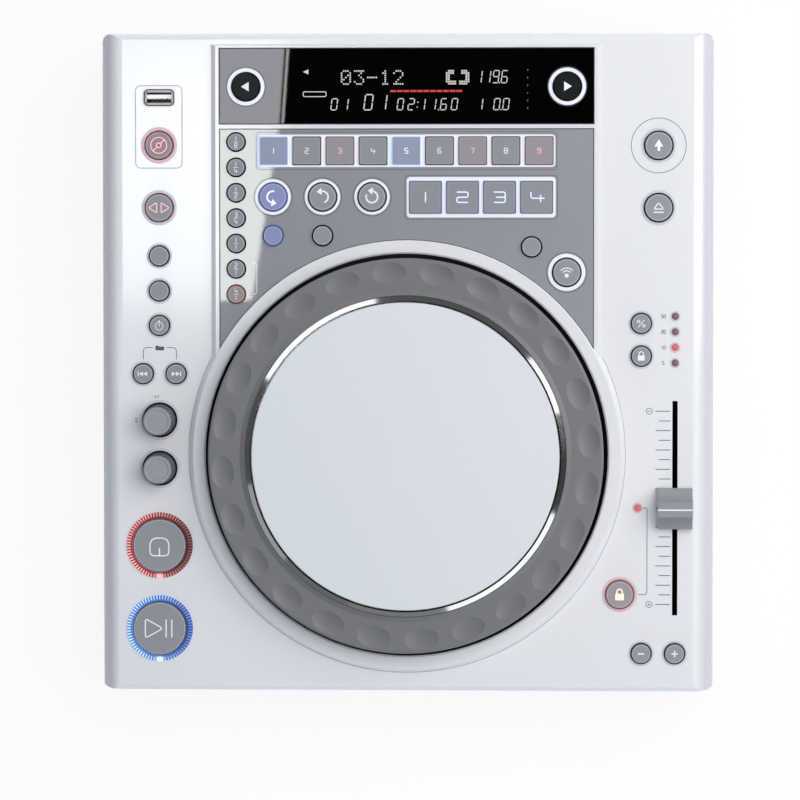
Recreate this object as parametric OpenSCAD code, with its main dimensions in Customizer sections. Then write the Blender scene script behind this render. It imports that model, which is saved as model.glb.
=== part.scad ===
// Tabletop DJ disc player with a slot-in drive, in millimetres.
// X runs to the right, Y to the rear and Z up. The origin is on the table, below the case's centre.
// The top panel slopes up to the rear. Controls are placed in the panel's own frame:
// u to the right, v up the slope and w out of the panel, from the middle of the case.

/* [Case] */
// Width of the case
case_w = 310; // [304:1:330]
// Depth of the case from front to rear
case_d = 332; // [326:1:350]
// Height of the panel's front edge above the table
front_h = 68; // [66:0.5:74]
// Height of the panel's rear edge above the table
rear_h = 88; // [86:0.5:94]
// Thickness of the moulded walls
wall = 2.5; // [2:0.1:3]
// Rounding of the left and right top edges
side_round = 11; // [6:0.5:12]
// Rounding of the front and rear top edges
edge_round = 3; // [2:0.25:4]
// Plan rounding of the front corners, across the case
front_corner_x = 10; // [6:0.5:12]
// Plan rounding of the front corners, along the case
front_corner_y = 3.6; // [3.2:0.1:6]
// Plan rounding of the rear corners
rear_corner = 4.6; // [3.6:0.1:8]
// Height of the joint between the two housings
split_h = 26; // [22:0.5:28]
// How far the lower housing stands back from the upper one
lower_setback = 1.5; // [0.5:0.1:2]

/* [Plateau and plates] */
// Width of the raised plateau at its top
plateau_w = 193; // [190.5:0.5:198]
// Height of the plateau above the panel
plateau_h = 3; // [2.4:0.1:3.6]
// Width of the plateau's sloped side walls
plateau_slant = 2.3; // [1:0.1:3]
// Rear edge of the case to the plateau's rear top edge
plateau_rear = 6.2; // [5:0.1:7]
// Width of the display window
window_w = 189; // [180:0.5:190]
// Depth of the display window
window_d = 38.2; // [36:0.2:40]
// Rear edge of the case to the display window
window_rear = 7.3; // [7.2:0.1:8.5]
// Width of the control plate
plate_w = 188.8; // [180:0.4:190]
// Strip of plateau between the window and the control plate
plate_gap = 2.4; // [1.5:0.1:3]
// Thickness of the window and of the control plate
plate_t = 2.3; // [1.8:0.1:2.6]
// Depth of the plates' seats below the plateau's top
seat_depth = 2; // [1.2:0.1:2.2]

/* [Jog wheel] */
// Front edge of the case to the jog wheel's centre
jog_front = 119.5; // [117:0.5:124]
// Radius of the grip ring
grip_r = 99.5; // [96:0.5:100]
// Gap between the grip ring and the collar
jog_gap = 2.2; // [1:0.1:3]
// Width of the collar's top
collar_w = 6.8; // [5:0.1:7.5]
// Height of the collar above the panel
collar_h = 4.5; // [4:0.1:5.5]
// Depth of the well's floor below the panel
well_depth = 8; // [7:0.5:10]
// Height of the grip ring's flat top above the panel
grip_h = 16.5; // [14:0.5:18]
// Width of the grip ring's flat top
grip_w = 16; // [15.6:0.2:18]
// Width of the bevel inside the grip ring's flat top
grip_bevel = 2.6; // [1.5:0.1:3.5]
// Height of the grip ring's inner edge above its flat top
grip_rise = 1.4; // [0.6:0.1:2]
// Number of finger dimples in the grip ring
dimple_count = 24; // [12:1:28]
// Radius of a dimple at the ring's top
dimple_r = 7.3; // [5:0.1:7.4]
// Depth of a dimple
dimple_depth = 1.5; // [0.8:0.1:2]
// Width of the platter's bright rim
rim_w = 3.4; // [2:0.1:4.5]
// Rise of the bright rim from its outside to its inside
rim_rise = 1.4; // [0.6:0.1:2]
// Thickness of the top plate
jog_plate_t = 2; // [1.5:0.1:3]
// Radius of the wheel's spindle
spindle_r = 6; // [4:0.5:8]

/* [Keys] */
// Radius of the large round keys
big_key_r = 6.85; // [6:0.05:7]
// Gap around the large round keys
big_key_gap = 0.75; // [0.4:0.05:0.9]
// Radius of the small round keys
small_key_r = 4.75; // [4.2:0.05:5]
// Gap around the small round keys
small_key_gap = 0.8; // [0.4:0.05:0.9]
// Radius of the beat keys
beat_key_r = 4.3; // [3.8:0.05:4.4]
// Gap around the beat keys
beat_key_gap = 0.8; // [0.4:0.05:0.9]
// Spacing of the beat keys
beat_pitch = 12.8; // [12.6:0.05:13.2]
// Number of beat keys
beat_count = 7; // [4:1:7]
// Radius of the cue and play keys
cue_key_r = 13.25; // [11:0.25:14]
// Gap around the cue and play keys
cue_key_gap = 0.5; // [0.4:0.05:0.8]
// Side of an effect key
fx_size = 13.7; // [12:0.1:13.9]
// Spacing of the effect keys
fx_pitch = 16.73; // [16.5:0.01:17]
// Number of effect keys
fx_count = 9; // [5:1:9]
// Side of a pad
pad_size = 15.8; // [14:0.1:16]
// Spacing of the pads
pad_pitch = 18.65; // [18.4:0.05:19]
// Number of pads
pad_count = 4; // [4:1:4]
// Gap around the effect keys and the pads
square_gap = 0.4; // [0.3:0.05:0.5]
// Height of a key above the face that it stands in
key_proud = 1.9; // [1.4:0.1:3]
// Travel of a key
key_travel = 1; // [0.5:0.1:1.2]
// Bevel around a key's top
key_bevel = 0.35; // [0.1:0.05:0.5]

/* [Light rings] */
// Width of the white rings around the loop keys
ring_w = 1.35; // [0.8:0.05:1.5]
// Width of the rings around the two track selector keys and the tap key
wide_ring_w = 1.8; // [1:0.1:2.4]
// Width of the rings around the cue and play keys
cue_ring_w = 3; // [2:0.1:3.4]
// Border of the frames around the effect keys and the pads
frame_border = 1.3; // [0.9:0.1:1.6]
// Radius of an indicator lens
led_r = 1.7; // [1.2:0.1:2]
// Spacing of the range indicators
led_pitch = 7.85; // [7:0.05:8.5]

/* [Pitch fader] */
// Travel of the pitch fader
fader_travel = 100; // [60:1:100]
// Width of the fader's slot
fader_slot_w = 2.6; // [2.2:0.1:3]
// Width of the fader's cap
cap_w = 17.6; // [14:0.2:18.4]
// Length of the fader's cap
cap_l = 20.6; // [16:0.2:22]
// Height of the fader cap's ridge above the panel
cap_h = 14; // [10:0.5:16]

/* [Knobs] */
// Radius of a knob at the panel
knob_r = 8; // [7:0.1:8.4]
// Radius of a knob's top face
knob_top_r = 6.9; // [6:0.1:7]
// Height of a knob above the panel
knob_h = 15; // [11:0.5:18]
// Gap around a knob
knob_gap = 1; // [0.5:0.1:1.2]

/* [Feet and screws] */
// Height of the rubber feet
foot_h = 8; // [5:0.5:9]
// Radius of the rubber feet
foot_r = 13; // [9:0.5:15]
// Side of the case to a foot's centre
foot_from_side = 30; // [24:1:40]
// Front or rear of the case to a foot's centre
foot_from_end = 31; // [26:1:40]
// Radius of a case screw
screw_r = 1.5; // [1.25:0.05:1.75]
// Radius of a case screw's head
screw_head_r = 2.75; // [2.4:0.05:3]

/* [Vents] */
// Number of vent slots in each of the two groups in the floor
vent_count = 7; // [3:1:9]
// Length of a vent slot
vent_l = 44; // [20:2:60]

/* [Disc drive] */
// Width of the disc slot
slot_w = 125; // [122:0.5:128]
// Height of the disc slot
slot_h = 5.6; // [5:0.1:6.5]
// Height of the disc slot's middle above the table
slot_z = 46; // [44.5:0.5:47]
// Width of the drive's frame
drive_w = 146; // [142:1:150]
// Depth of the drive's frame
drive_d = 148; // [144:1:152]
// Travel of the laser sled
sled_travel = 34; // [20:1:36]
// Number of teeth on the sled's gear
gear_teeth = 20; // [18:1:24]
// Module of the sled's gear and rack
gear_module = 0.8; // [0.7:0.05:0.85]

/* [Rear panel] */
// Depth of the pocket that holds the sockets
pocket_depth = 12; // [10:0.5:14]
// Width of the pocket
pocket_w = 190; // [186:1:200]
// Height of the pocket
pocket_h = 36; // [32:0.5:37]
// Height of the pocket's lower edge above the table
pocket_z = 32; // [31:0.5:33]
// How far the socket tray's rim stands back from the rear face
tray_inset = 0.6; // [0:0.1:1.2]
// Radius of a phono socket's barrel
phono_r = 4.15; // [4.15:0.01:4.2]
// Radius of the bore in a phono socket
phono_bore_r = 1.65; // [1.62:0.01:1.7]

/* [Hidden] */
$fn = 64;
EPS = 0.01;
THROUGH = 400;

// Clearances and thicknesses that many pieces share
SEAT = 0.1;          // a piece dropped into its seat
RUN = 0.05;          // a shaft in its bore
SLIDE = 0.2;         // a sliding piece beside its guide
SHEET = 1.2;         // folded sheet metal
BOARD_T = 1.6;       // circuit boards
FLANGE_T = 1.2;      // the retaining flange under a key
FLANGE_W = 0.9;      // how far that flange reaches past the key's hole
SWITCH_H = 4.8;      // a key switch on the board
SWITCH_SIDE = 6.2;
SWITCH_BORE = 2.4;   // depth of the bore in a key switch
STEM_R = 1.75;       // a key's stem
STEM_IN = 0.8;       // how far a stem at rest reaches into its switch
ARC_STEPS = 8;
CUT = 20;            // how far cuts reach past a surface of the panel
PROUD = 0.3;         // light rings and frames above the face around them
SQUARE_FLANGE = 0.5; // how far a square key's flange reaches past its hole

// The sloped panel and its frame
slope = atan((rear_h - front_h) / case_d);
mid_h = (front_h + rear_h) / 2;
rear = case_d / 2;
front = -case_d / 2;
side = case_w / 2;

// Plateau, window and control plate
plateau_top = rear - plateau_rear;
seat_w = plateau_h - seat_depth;
plate_top = seat_w + plate_t;
window_top = rear - window_rear;
window_low = window_top - window_d;
plate_high = window_low - plate_gap;
display_side = window_w / 2 - 25;
display_high = window_top - 3.5;
display_low = window_low + 3.5;

// Jog wheel and its well
jog_v = front + jog_front;
well_r = grip_r + jog_gap;
collar_r = well_r + collar_w;
collar_foot_r = collar_r + 1.9;
plate_arc_r = collar_r + 0.2;
rim_out = grip_r - grip_w - grip_bevel;
rim_in = rim_out - rim_w;
rim_low = grip_h + grip_rise;
jog_top = rim_low + rim_rise;
hub_r = spindle_r + 5;
bearing_h = 4;
web_top = jog_top - jog_plate_t;
web_low = web_top - 4;
spindle_top = web_top - 2.6;
ring_low = 0.8;
grip_wall = 3;
first_dimple = 80;
dimple_ball = (dimple_r * dimple_r + dimple_depth * dimple_depth) / (2 * dimple_depth);

// Key stack below the panel's skin
flange_top = -wall - SEAT;
flange_low = flange_top - FLANGE_T;
switch_top = flange_low - key_travel - 0.4;
board_top = switch_top - SWITCH_H;
board_low = board_top - BOARD_T;
stem_low = switch_top - STEM_IN;

// Columns and rows of controls
BEND_GAP = 9.65;     // front end of the fader's body to the bend keys' row
PAIR_ROW = 160.35;   // front edge of the case to the previous and next keys
RANGE_ROW = 146;     // rear edge of the case to the range key
KEY_LOCK_ROW = 162.5; // and to the key lock key
left_col = -(side - 29.7);
right_col = side - 28;
range_col = side - 36.6;
fader_u = side - 19.5;
fader_v = front + 92.65;
slot_l = fader_travel + 8.5;
FADER_BODY = [10, fader_travel + 28];
bend_row = fader_v - FADER_BODY[1] / 2 - BEND_GAP;
save_row = rear - 101.7;
loop_row = rear - 82.2;
loop_start = -67.3;
loop_pitch = 25;
beat_u = -plate_w / 2 + 8.4;
beat_v = rear - 54.5;
fx_v = rear - 59;
fx_len = (fx_count - 1) * fx_pitch;
pad_v = rear - 82.4;
pad_u = 9.7;
fx_frame = [fx_len + fx_size, fx_size] + 2 * (square_gap + frame_border - 0.4) * [1, 1];
pads_len = (pad_count - 1) * pad_pitch;
pad_frame = [pads_len + pad_size, pad_size + 1.2] + 2 * (square_gap + frame_border) * [1, 1];
pad_mid = [pad_u + pads_len / 2, pad_v];
led_v = rear - 142.4;
pitch_led = [side - 38.3, front + 92.8];
search_at = [left_col, front + 136.9];
trax_at = [left_col, front + 112.4];
cue_at = [left_col - 0.2, front + 73.2];
play_at = [left_col - 0.2, front + 31];
usb_at = [left_col + 0.1, rear - 32];

// The round keys that have a node each: [node, place, radius, gap, face, ring width]
// face is the height of the surface around the key, and ring width is 0 where there is no ring.
ROUND_KEYS = [
    ["track_left_key", [-plate_w / 2 + 13.4, rear - 26.7], big_key_r, big_key_gap, plate_top, wide_ring_w],
    ["track_right_key", [plate_w / 2 - 13.4, rear - 26.7], big_key_r, big_key_gap, plate_top, wide_ring_w],
    ["loop_in_key", [loop_start, loop_row], big_key_r, big_key_gap, plate_top, ring_w],
    ["loop_out_key", [loop_start + loop_pitch, loop_row], big_key_r, big_key_gap, plate_top, ring_w],
    ["reloop_key", [loop_start + 2 * loop_pitch, loop_row], big_key_r, big_key_gap, plate_top, ring_w],
    ["tap_key", [plate_w / 2 - 13.6, rear - 120.2], big_key_r, big_key_gap, plate_top, wide_ring_w],
    ["mode_key", [left_col, rear - 56.1], big_key_r, big_key_gap, 0, 0],
    ["reverse_key", [left_col, rear - 87.6], big_key_r, big_key_gap, 0, 0],
    ["shift_key", [right_col, rear - 56.4], big_key_r, big_key_gap, 0, 0],
    ["eject_key", [right_col, rear - 87.7], big_key_r, big_key_gap, 0, 0],
    ["pitch_lock_key", [side - 47.3, front + 48.9], big_key_r, big_key_gap, 0, 0],
    ["cue_key", cue_at, cue_key_r, cue_key_gap, 0, 0],
    ["play_key", play_at, cue_key_r, cue_key_gap, 0, 0],
    ["save_key", [loop_start, save_row], small_key_r, small_key_gap, plate_top, 0],
    ["sampler_key", [loop_start + loop_pitch, save_row], small_key_r, small_key_gap, plate_top, 0],
    ["sync_key", [plate_w / 2 - 31.3, rear - 107.4], small_key_r, small_key_gap, plate_top, 0],
    ["bank_key", [left_col, rear - 112], small_key_r, small_key_gap, 0, 0],
    ["single_key", [left_col, rear - 129.7], small_key_r, small_key_gap, 0, 0],
    ["menu_key", [left_col, rear - 147.2], small_key_r, small_key_gap, 0, 0],
    ["previous_key", [left_col - 8.3, front + PAIR_ROW], small_key_r, small_key_gap, 0, 0],
    ["next_key", [left_col + 8.4, front + PAIR_ROW], small_key_r, small_key_gap, 0, 0],
    ["range_key", [range_col, rear - RANGE_ROW], small_key_r, small_key_gap, 0, 0],
    ["key_lock_key", [range_col, rear - KEY_LOCK_ROW], small_key_r, small_key_gap, 0, 0],
    ["bend_minus_key", [fader_u - 16.9, bend_row], small_key_r, small_key_gap, 0, 0],
    ["bend_plus_key", [fader_u, bend_row], small_key_r, small_key_gap, 0, 0],
];
BEAT_KEYS = [for (i = [0 : beat_count - 1]) [beat_u, beat_v - i * beat_pitch]];
FX_KEYS = [for (i = [0 : fx_count - 1]) [-fx_len / 2 + i * fx_pitch, fx_v]];
PADS = [for (i = [0 : pad_count - 1]) [pad_u + i * pad_pitch, pad_v]];
LEDS = concat([for (i = [0 : 3]) [fader_u, led_v - i * led_pitch]], [pitch_led]);
KNOBS = [search_at, trax_at];
PAD_NODES = [for (i = [0 : pad_count - 1]) str("pad_", i + 1)];

// Knobs and fader
ENCODER_SIDE = 12.4;
SHAFT_R = 3;
knob_low = -wall + 0.7;
bushing_top = knob_low - 0.4;
fader_high = -wall - SEAT;
fader_low = fader_high - 9;
CARRIAGE = [7.4, 12];
LEVER = [1.4, 5];
lever_top = 5;
cap_ridge = 3.9;
cap_low = 1.2;
cap_lip = 4;

// USB port in the panel
USB_SHELL = [13.3, 6.1];
USB_BEZEL = [15.4, 8.2];
USB_TONGUE = [11.1, 1.9];
usb_depth = 14;

// Posts that carry the key board, in the panel's frame
BOARD_POSTS = [
    for (s = [-1, 1]) each [
        [s * (side - 52), rear - 16], [s * (side - 52), rear - 96],
        [s * (side - 46), front + 146], [s * (side - 48), front + 15]
    ]
];
post_r = 3;
post_screw_r = 1.25;
post_screw_in = 5.5;

// Screws that close the case, straight up from below
case_screw_x = side - 13;
CASE_SCREWS = [for (s = [-1, 1], y = [rear - 22, rear - 126, front + 10]) [s * case_screw_x, y]];
boss_r = 3.6;
lower_boss_r = 4.5;
boss_split = split_h + 8;
screw_seat = foot_h + 12;
screw_in = 10;

// Inside the lower housing
floor_h = foot_h + wall;
board_h = floor_h + 4;
lip_h = 3;
FEET = corners([0, 0], [side - foot_from_side, rear - foot_from_end]);
MAIN_BOARD = [150, 104];
main_at = [side - 97, rear - 104];
MAIN_POSTS = corners(main_at, MAIN_BOARD / 2 - [5, 5]);
MAIN_CHIPS = [[24, 24, -30, 10], [16, 20, 6, 18], [14, 14, 40, -14], [20, 9, -34, -28], [9, 20, 54, 24]];
chip_h = 2.2;
SUPPLY_BOARD = [84, 92];
TRANSFORMER = [38, 32];
supply_h = 26;
supply_at = [-(side - 63), rear - 90];
SUPPLY_POSTS = corners(supply_at, SUPPLY_BOARD / 2 - [5, 5]);
vent_w = 2.6;
vent_pitch = 8;
vent_span = (vent_count - 1) * vent_pitch;
VENTS = [for (at = [supply_at, main_at], i = [0 : vent_count - 1]) at + [i * vent_pitch - vent_span / 2, 0]];

// The drive: the disc lies at slot_z
drive_front = front + wall + 2;
drive_low = slot_z - 16;
drive_top = slot_z + 6;
hub_y = drive_front + 64;
roller_y = drive_front + 9;
roller_r = 4.2;
roller_z = slot_z - 1.8 - roller_r;
rail_z = slot_z - 10;
rail_x = 17;
rail_r = 1.5;
sled_w = 44;
sled_d = 15;
lens_r = 6;
lens_top = 5;
sled_y = hub_y + 24;
rail_l = sled_travel + sled_d + 14;
rail_mid = sled_y + sled_travel / 2;
rack_x = sled_w / 2 + 2;
rack_z = rail_z - 2.5;
gear_r = gear_teeth * gear_module / 2;
gear_x = rack_x + gear_r;
gear_y = rail_mid;
gear_z = rack_z;
gear_t = 3;
rack_pitch = PI * gear_module;
rack_l = sled_travel + 2 * rack_pitch;
rail_y0 = rail_mid - rail_l / 2;
rail_y1 = rail_mid + rail_l / 2;
motor_r = 12;
roller_shaft = 1.5;
gear_post = 1.5;
hub_top = slot_z + 1.6;
hub_plate = slot_z - 5.2;
hub_rest = slot_z - 0.8;
DRIVE_POSTS = corners([0, drive_front + drive_d / 2], [drive_w / 2 - 8, drive_d / 2 - 12]);

// The gear's phase puts one of its gaps over the rack tooth nearest to its centre
rack_offset = round((gear_y - sled_y) / rack_pitch) * rack_pitch - (gear_y - sled_y);
gear_phase = 180 - rack_offset / gear_r * 180 / PI + 180 / gear_teeth;

// Rear sockets: places along the pocket's wall, [x, z]
pocket_back = rear - pocket_depth;
socket_z = pocket_z + pocket_h / 2;
inlet_at = [-72, socket_z];
rocker_at = [-42, socket_z];
usb_b_at = [-14, socket_z];
PHONOS = [[20, socket_z], [60, socket_z + 8], [60, socket_z - 8]];
inlet_size = [27, 19.6];
inlet_deep = 18;
INLET_BLADES = [[-7, -2], [0, 2], [7, -2]];
USB_B = [12, 11];
USB_B_MOUTH = [8.6, 8];
USB_B_BLOCK = [5.6, 3.2];
usb_b_deep = 9.5;
rocker_r = 8;
rocker_w = 10.6;
rocker_back = 3;      // the rocker's axis behind the socket wall's outer face
rocker_tilt = 10;
ROCKER_FRAME = [14.5, 21];

// ---------- Frames and outlines ----------

// Places children in the panel's frame, at a control's u and v
module on_panel(at = [0, 0])
    translate([0, 0, mid_h]) rotate([slope, 0, 0]) translate([at[0], at[1], 0]) children();

// A box by its centre in plan and its lowest and highest level
module block(size, low, high, at = [0, 0])
    translate([at[0] - size[0] / 2, at[1] - size[1] / 2, low]) cube([size[0], size[1], high - low]);

// A disc or a hole by its lowest and highest level
module disc(r, low, high, at = [0, 0])
    translate([at[0], at[1], low]) cylinder(r = r, h = high - low);

// The four corners of a rectangle by its middle and its half size
function corners(at, half) = [for (sx = [-1, 1], sy = [-1, 1]) at + [sx * half[0], sy * half[1]]];

// Points of a rectangle with elliptical corners; radii are [x, y] for the front and for the rear
function plan_points(w, d, front_rad, rear_rad) = [
    for (q = [0 : 3])
        let (sx = (q == 0 || q == 3) ? 1 : -1, sy = q < 2 ? 1 : -1, rad = sy > 0 ? rear_rad : front_rad)
        for (i = [0 : ARC_STEPS])
            let (a = 90 * q + 90 * i / ARC_STEPS)
            [sx * (w / 2 - rad[0]) + rad[0] * cos(a), sy * (d / 2 - rad[1]) + rad[1] * sin(a)]
];

module case_plan(inset)
    polygon(plan_points(
        case_w - 2 * inset, case_d - 2 * inset,
        [max(front_corner_x - inset, 1), max(front_corner_y - inset, 1)],
        [max(rear_corner - inset, 1), max(rear_corner - inset, 1)]
    ));

// A rectangle hanging below the axis with its two top corners rounded
module arch(w, h, r) {
    translate([-w / 2, -h]) square([w, h - r]);
    translate([-w / 2 + r, -h]) square([w - 2 * r, h]);
    for (s = [-1, 1]) translate([s * (w / 2 - r), -r]) circle(r);
}

// The case seen from its right side, shrunk by inset: upright ends, rounded into the sloped top
module side_outline(inset, low) {
    r = max(edge_round - inset, 0.5);
    ends = [front + inset + r, rear - inset - r];
    heights = [for (y = ends) mid_h + y * tan(slope) - (inset + r) / cos(slope)];
    above = r * [-sin(slope), cos(slope)];
    polygon([[ends[0] - r, low], [ends[1] + r, low], [ends[1] + r, heights[1]],
             [ends[1], heights[1]] + above, [ends[0], heights[0]] + above, [ends[0] - r, heights[0]]]);
    for (i = [0, 1]) translate([ends[i], heights[i]]) circle(r);
}

// The case's outer form, shrunk by inset, above the level low
module case_form(inset, low)
    intersection() {
        translate([0, 0, low]) linear_extrude(THROUGH) case_plan(inset);
        on_panel() translate([0, 0, -inset]) rotate([90, 0, 0])
            linear_extrude(2 * THROUGH, center = true)
                arch(case_w - 2 * inset, THROUGH, side_round - inset / 2);
        rotate([90, 0, 90]) linear_extrude(case_w + 2, center = true) side_outline(inset, low - 1);
    }

// A rounded square for a key, a hole or a frame
module rounded_rect(w, d, r)
    polygon(plan_points(w, d, [r, r], [r, r]));

module square_prism(size, r, low, high, at = [0, 0])
    translate([at[0], at[1], low]) linear_extrude(high - low) rounded_rect(size[0], size[1], r);

// ---------- Case ----------

// The raised block around the window and the control plate, rooted in the panel's skin
module plateau_block() {
    root = -wall / 2;
    top_half = plateau_w / 2;
    foot_half = top_half + plateau_slant;
    block_front = jog_v + 0.42 * collar_r;
    intersection() {
        translate([0, rear, 0]) rotate([90, 0, 0]) linear_extrude(rear - block_front)
            polygon([[-foot_half, root], [foot_half, root], [foot_half, 0], [top_half, plateau_h],
                     [-top_half, plateau_h], [-foot_half, 0]]);
        translate([-foot_half - 1, 0, 0]) rotate([90, 0, 90]) linear_extrude(2 * foot_half + 2)
            polygon([[block_front, root], [plateau_top + 1.1, root], [plateau_top + 1.1, 0],
                     [plateau_top, plateau_h], [block_front, plateau_h]]);
    }
}

// The round well under the jog wheel, with the collar around its mouth
module jog_well()
    on_panel([0, jog_v]) rotate_extrude()
        polygon([[0, -well_depth - wall], [well_r + wall, -well_depth - wall],
                 [well_r + wall, -wall / 2], [collar_foot_r, -wall / 2], [collar_foot_r, 0],
                 [collar_r, plateau_h], [collar_r, collar_h - 0.5], [collar_r - 0.5, collar_h],
                 [well_r + 0.8, collar_h], [well_r, collar_h - 0.8], [well_r, -well_depth],
                 [0, -well_depth]]);

module control_plate_outline(clear)
    difference() {
        translate([-plate_w / 2 - clear, jog_v]) square([plate_w + 2 * clear, plate_high - jog_v + clear]);
        translate([0, jog_v]) circle(plate_arc_r - clear);
    }

// Holes for the keys through the skin: round ones, then square ones
module key_holes(low, high) {
    for (k = ROUND_KEYS) disc(k[2] + k[3], low, high, k[1]);
    for (at = BEAT_KEYS) disc(beat_key_r + beat_key_gap, low, high, at);
    for (at = FX_KEYS) square_prism([1, 1] * (fx_size + 2 * square_gap), 1, low, high, at);
    for (at = PADS) square_prism([1, 1] * (pad_size + 2 * square_gap), 1, low, high, at);
}

// The block behind the rear face that the socket tray is made from, from its back to the level out
module tray_block(grow, out) {
    around = wall + grow;
    translate([-pocket_w / 2 - around, pocket_back - around, pocket_z - around])
        cube([pocket_w + 2 * around, out - pocket_back + around, pocket_h + 2 * around]);
}

// A box in the rear sockets' own frame: centred on X and Z, from back to front along +Y
module rear_box(size, back, out)
    translate([-size[0] / 2, back, -size[1] / 2]) cube([size[0], out - back, size[1]]);

// A round piece along +Y
module rear_disc(r, back, out)
    translate([0, back, 0]) rotate([-90, 0, 0]) cylinder(r = r, h = out - back);

// Places children on the pocket's wall
module on_wall(at)
    translate([at[0], pocket_back, at[1]]) children();

module socket_holes() {
    back = -wall - 1;
    grow = [2, 2] * SEAT;
    for (at = PHONOS) on_wall(at) rear_disc(phono_r + 1 + SEAT, back, 1);
    on_wall(usb_b_at) rear_box(USB_B + grow, back, 1);
    on_wall(inlet_at) rear_box(inlet_size + grow, back, 1);
    on_wall(rocker_at) rear_box(ROCKER_FRAME - [2, 2] + grow, back, 1);
}

// The rounded slot that the disc goes through, in the front wall
module disc_slot()
    translate([0, front - 1, slot_z]) rotate([-90, 0, 0]) linear_extrude(wall + 3) {
        square([slot_w - slot_h, slot_h], center = true);
        for (s = [-1, 1]) translate([s * (slot_w - slot_h) / 2, 0]) circle(slot_h / 2);
    }

module top_housing()
    color("white") difference() {
        union() {
            difference() {
                union() {
                    difference() {
                        case_form(0, split_h);
                        case_form(wall, split_h - 1);
                    }
                    on_panel() plateau_block();
                }
                on_panel([0, jog_v]) disc(well_r + wall / 2, -THROUGH / 8, THROUGH / 8);
            }
            jog_well();
            on_panel() for (at = BOARD_POSTS) disc(post_r, board_top, -wall / 2, at);
            for (at = CASE_SCREWS) disc(boss_r, boss_split, mid_h + at[1] * tan(slope) - wall / 2, at);
        }
        on_panel() {
            key_holes(-CUT, CUT);
            translate([0, 0, seat_w]) linear_extrude(CUT) control_plate_outline(SEAT);
            block([window_w, window_d] + [2, 2] * SEAT, seat_w, CUT, [0, (window_top + window_low) / 2]);
            block([2 * display_side, display_high - display_low], -CUT, seat_w + 1,
                  [0, (display_high + display_low) / 2]);
            for (at = [cue_at, play_at])
                disc(cue_key_r + cue_key_gap + cue_ring_w + SEAT, -wall / 2, CUT, at);
            for (at = LEDS) disc(led_r + RUN, -CUT, CUT, at);
            for (at = KNOBS) disc(knob_r + knob_gap, -CUT, CUT, at);
            block([fader_slot_w, slot_l], -CUT, CUT, [fader_u, fader_v]);
            block(USB_SHELL + [2, 2] * SEAT, -CUT, CUT, usb_at);
            for (at = BOARD_POSTS) disc(post_screw_r + RUN, board_top - 1, board_top + post_screw_in + 1, at);
        }
        for (at = CASE_SCREWS) disc(screw_r + RUN, boss_split - 1, boss_split + screw_in + 1, at);
        tray_block(SEAT, rear + 5);
        disc_slot();
    }

// The tray in the rear wall: four sides around the pocket, and the wall that carries the sockets
module rear_panel()
    color("dimgray") difference() {
        tray_block(0, rear - tray_inset);
        translate([-pocket_w / 2, pocket_back, pocket_z]) cube([pocket_w, pocket_depth + 5, pocket_h]);
        socket_holes();
    }

module bottom_housing()
    color("dimgray") difference() {
        union() {
            difference() {
                union() {
                    translate([0, 0, foot_h]) linear_extrude(split_h - foot_h) case_plan(lower_setback);
                    translate([0, 0, split_h - 1]) linear_extrude(lip_h + 1) case_plan(wall + SEAT);
                }
                translate([0, 0, floor_h]) linear_extrude(THROUGH / 4) case_plan(2 * wall + SEAT);
            }
            for (at = CASE_SCREWS) disc(lower_boss_r, foot_h + wall / 2, boss_split, at);
            for (at = DRIVE_POSTS) disc(4, foot_h + wall / 2, drive_low, at);
            for (at = concat(MAIN_POSTS, SUPPLY_POSTS)) disc(3, foot_h + wall / 2, board_h, at);
        }
        for (at = CASE_SCREWS) {
            disc(screw_head_r + 0.4, foot_h - 1, screw_seat, at);
            disc(screw_r + 0.2, foot_h - 1, boss_split + 1, at);
        }
        for (at = VENTS) square_prism([vent_w, vent_l], vent_w / 2 - 0.1, foot_h - 1, floor_h + 1, at);
    }

module rubber_feet()
    color("dimgray") for (at = FEET) translate([at[0], at[1], 0]) rotate_extrude()
        polygon([[0, 2], [3, 2], [3, 0], [foot_r - 2, 0], [foot_r - 1, 1], [foot_r, foot_h], [0, foot_h]]);

// One screw pointing up: its head below the level seat
module screw(r, head_r, head_h, length) {
    disc(head_r, -head_h, 0);
    disc(r, -head_h / 2, length);
}

module housing_screws()
    color("silver") {
        for (at = CASE_SCREWS) translate([at[0], at[1], screw_seat])
            screw(screw_r, screw_head_r, 2.4, boss_split + screw_in - screw_seat);
        on_panel() for (at = BOARD_POSTS) translate([at[0], at[1], board_low])
            screw(post_screw_r, 2.4, 1.6, BOARD_T + post_screw_in);
    }

// ---------- Plates, display and boards ----------

module control_panel()
    color("darkgray") on_panel() difference() {
        translate([0, 0, seat_w]) linear_extrude(plate_t) control_plate_outline(0);
        for (k = ROUND_KEYS) disc(k[2] + k[3] + (k[5] > 0 ? k[5] + SEAT : 0), 0, CUT, k[1]);
        for (at = BEAT_KEYS) disc(beat_key_r + beat_key_gap, 0, CUT, at);
        square_prism(fx_frame + [2, 2] * SEAT, 2, 0, CUT, [0, fx_v]);
        square_prism(pad_frame + [2, 2] * SEAT, 2, 0, CUT, pad_mid);
    }

module display_window()
    color("black") on_panel() difference() {
        block([window_w, window_d], seat_w, plate_top, [0, (window_top + window_low) / 2]);
        for (k = ROUND_KEYS) if (k[1][1] > window_low) disc(k[2] + k[3] + k[5] + SEAT, 0, CUT, k[1]);
    }

module display_module()
    color("darkslategray") on_panel() {
        mid = [0, (display_high + display_low) / 2];
        size = [2 * display_side, display_high - display_low] - [2, 2] * SLIDE;
        low = -wall - 2;
        difference() {
            block(size, low, seat_w - SEAT, mid);
            block(size - [6, 6], seat_w - 0.6, seat_w + 1, mid);
        }
        for (at = corners(mid, size / 2 - [4, 4])) disc(2.5, board_top, low + EPS, at);
    }

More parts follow.
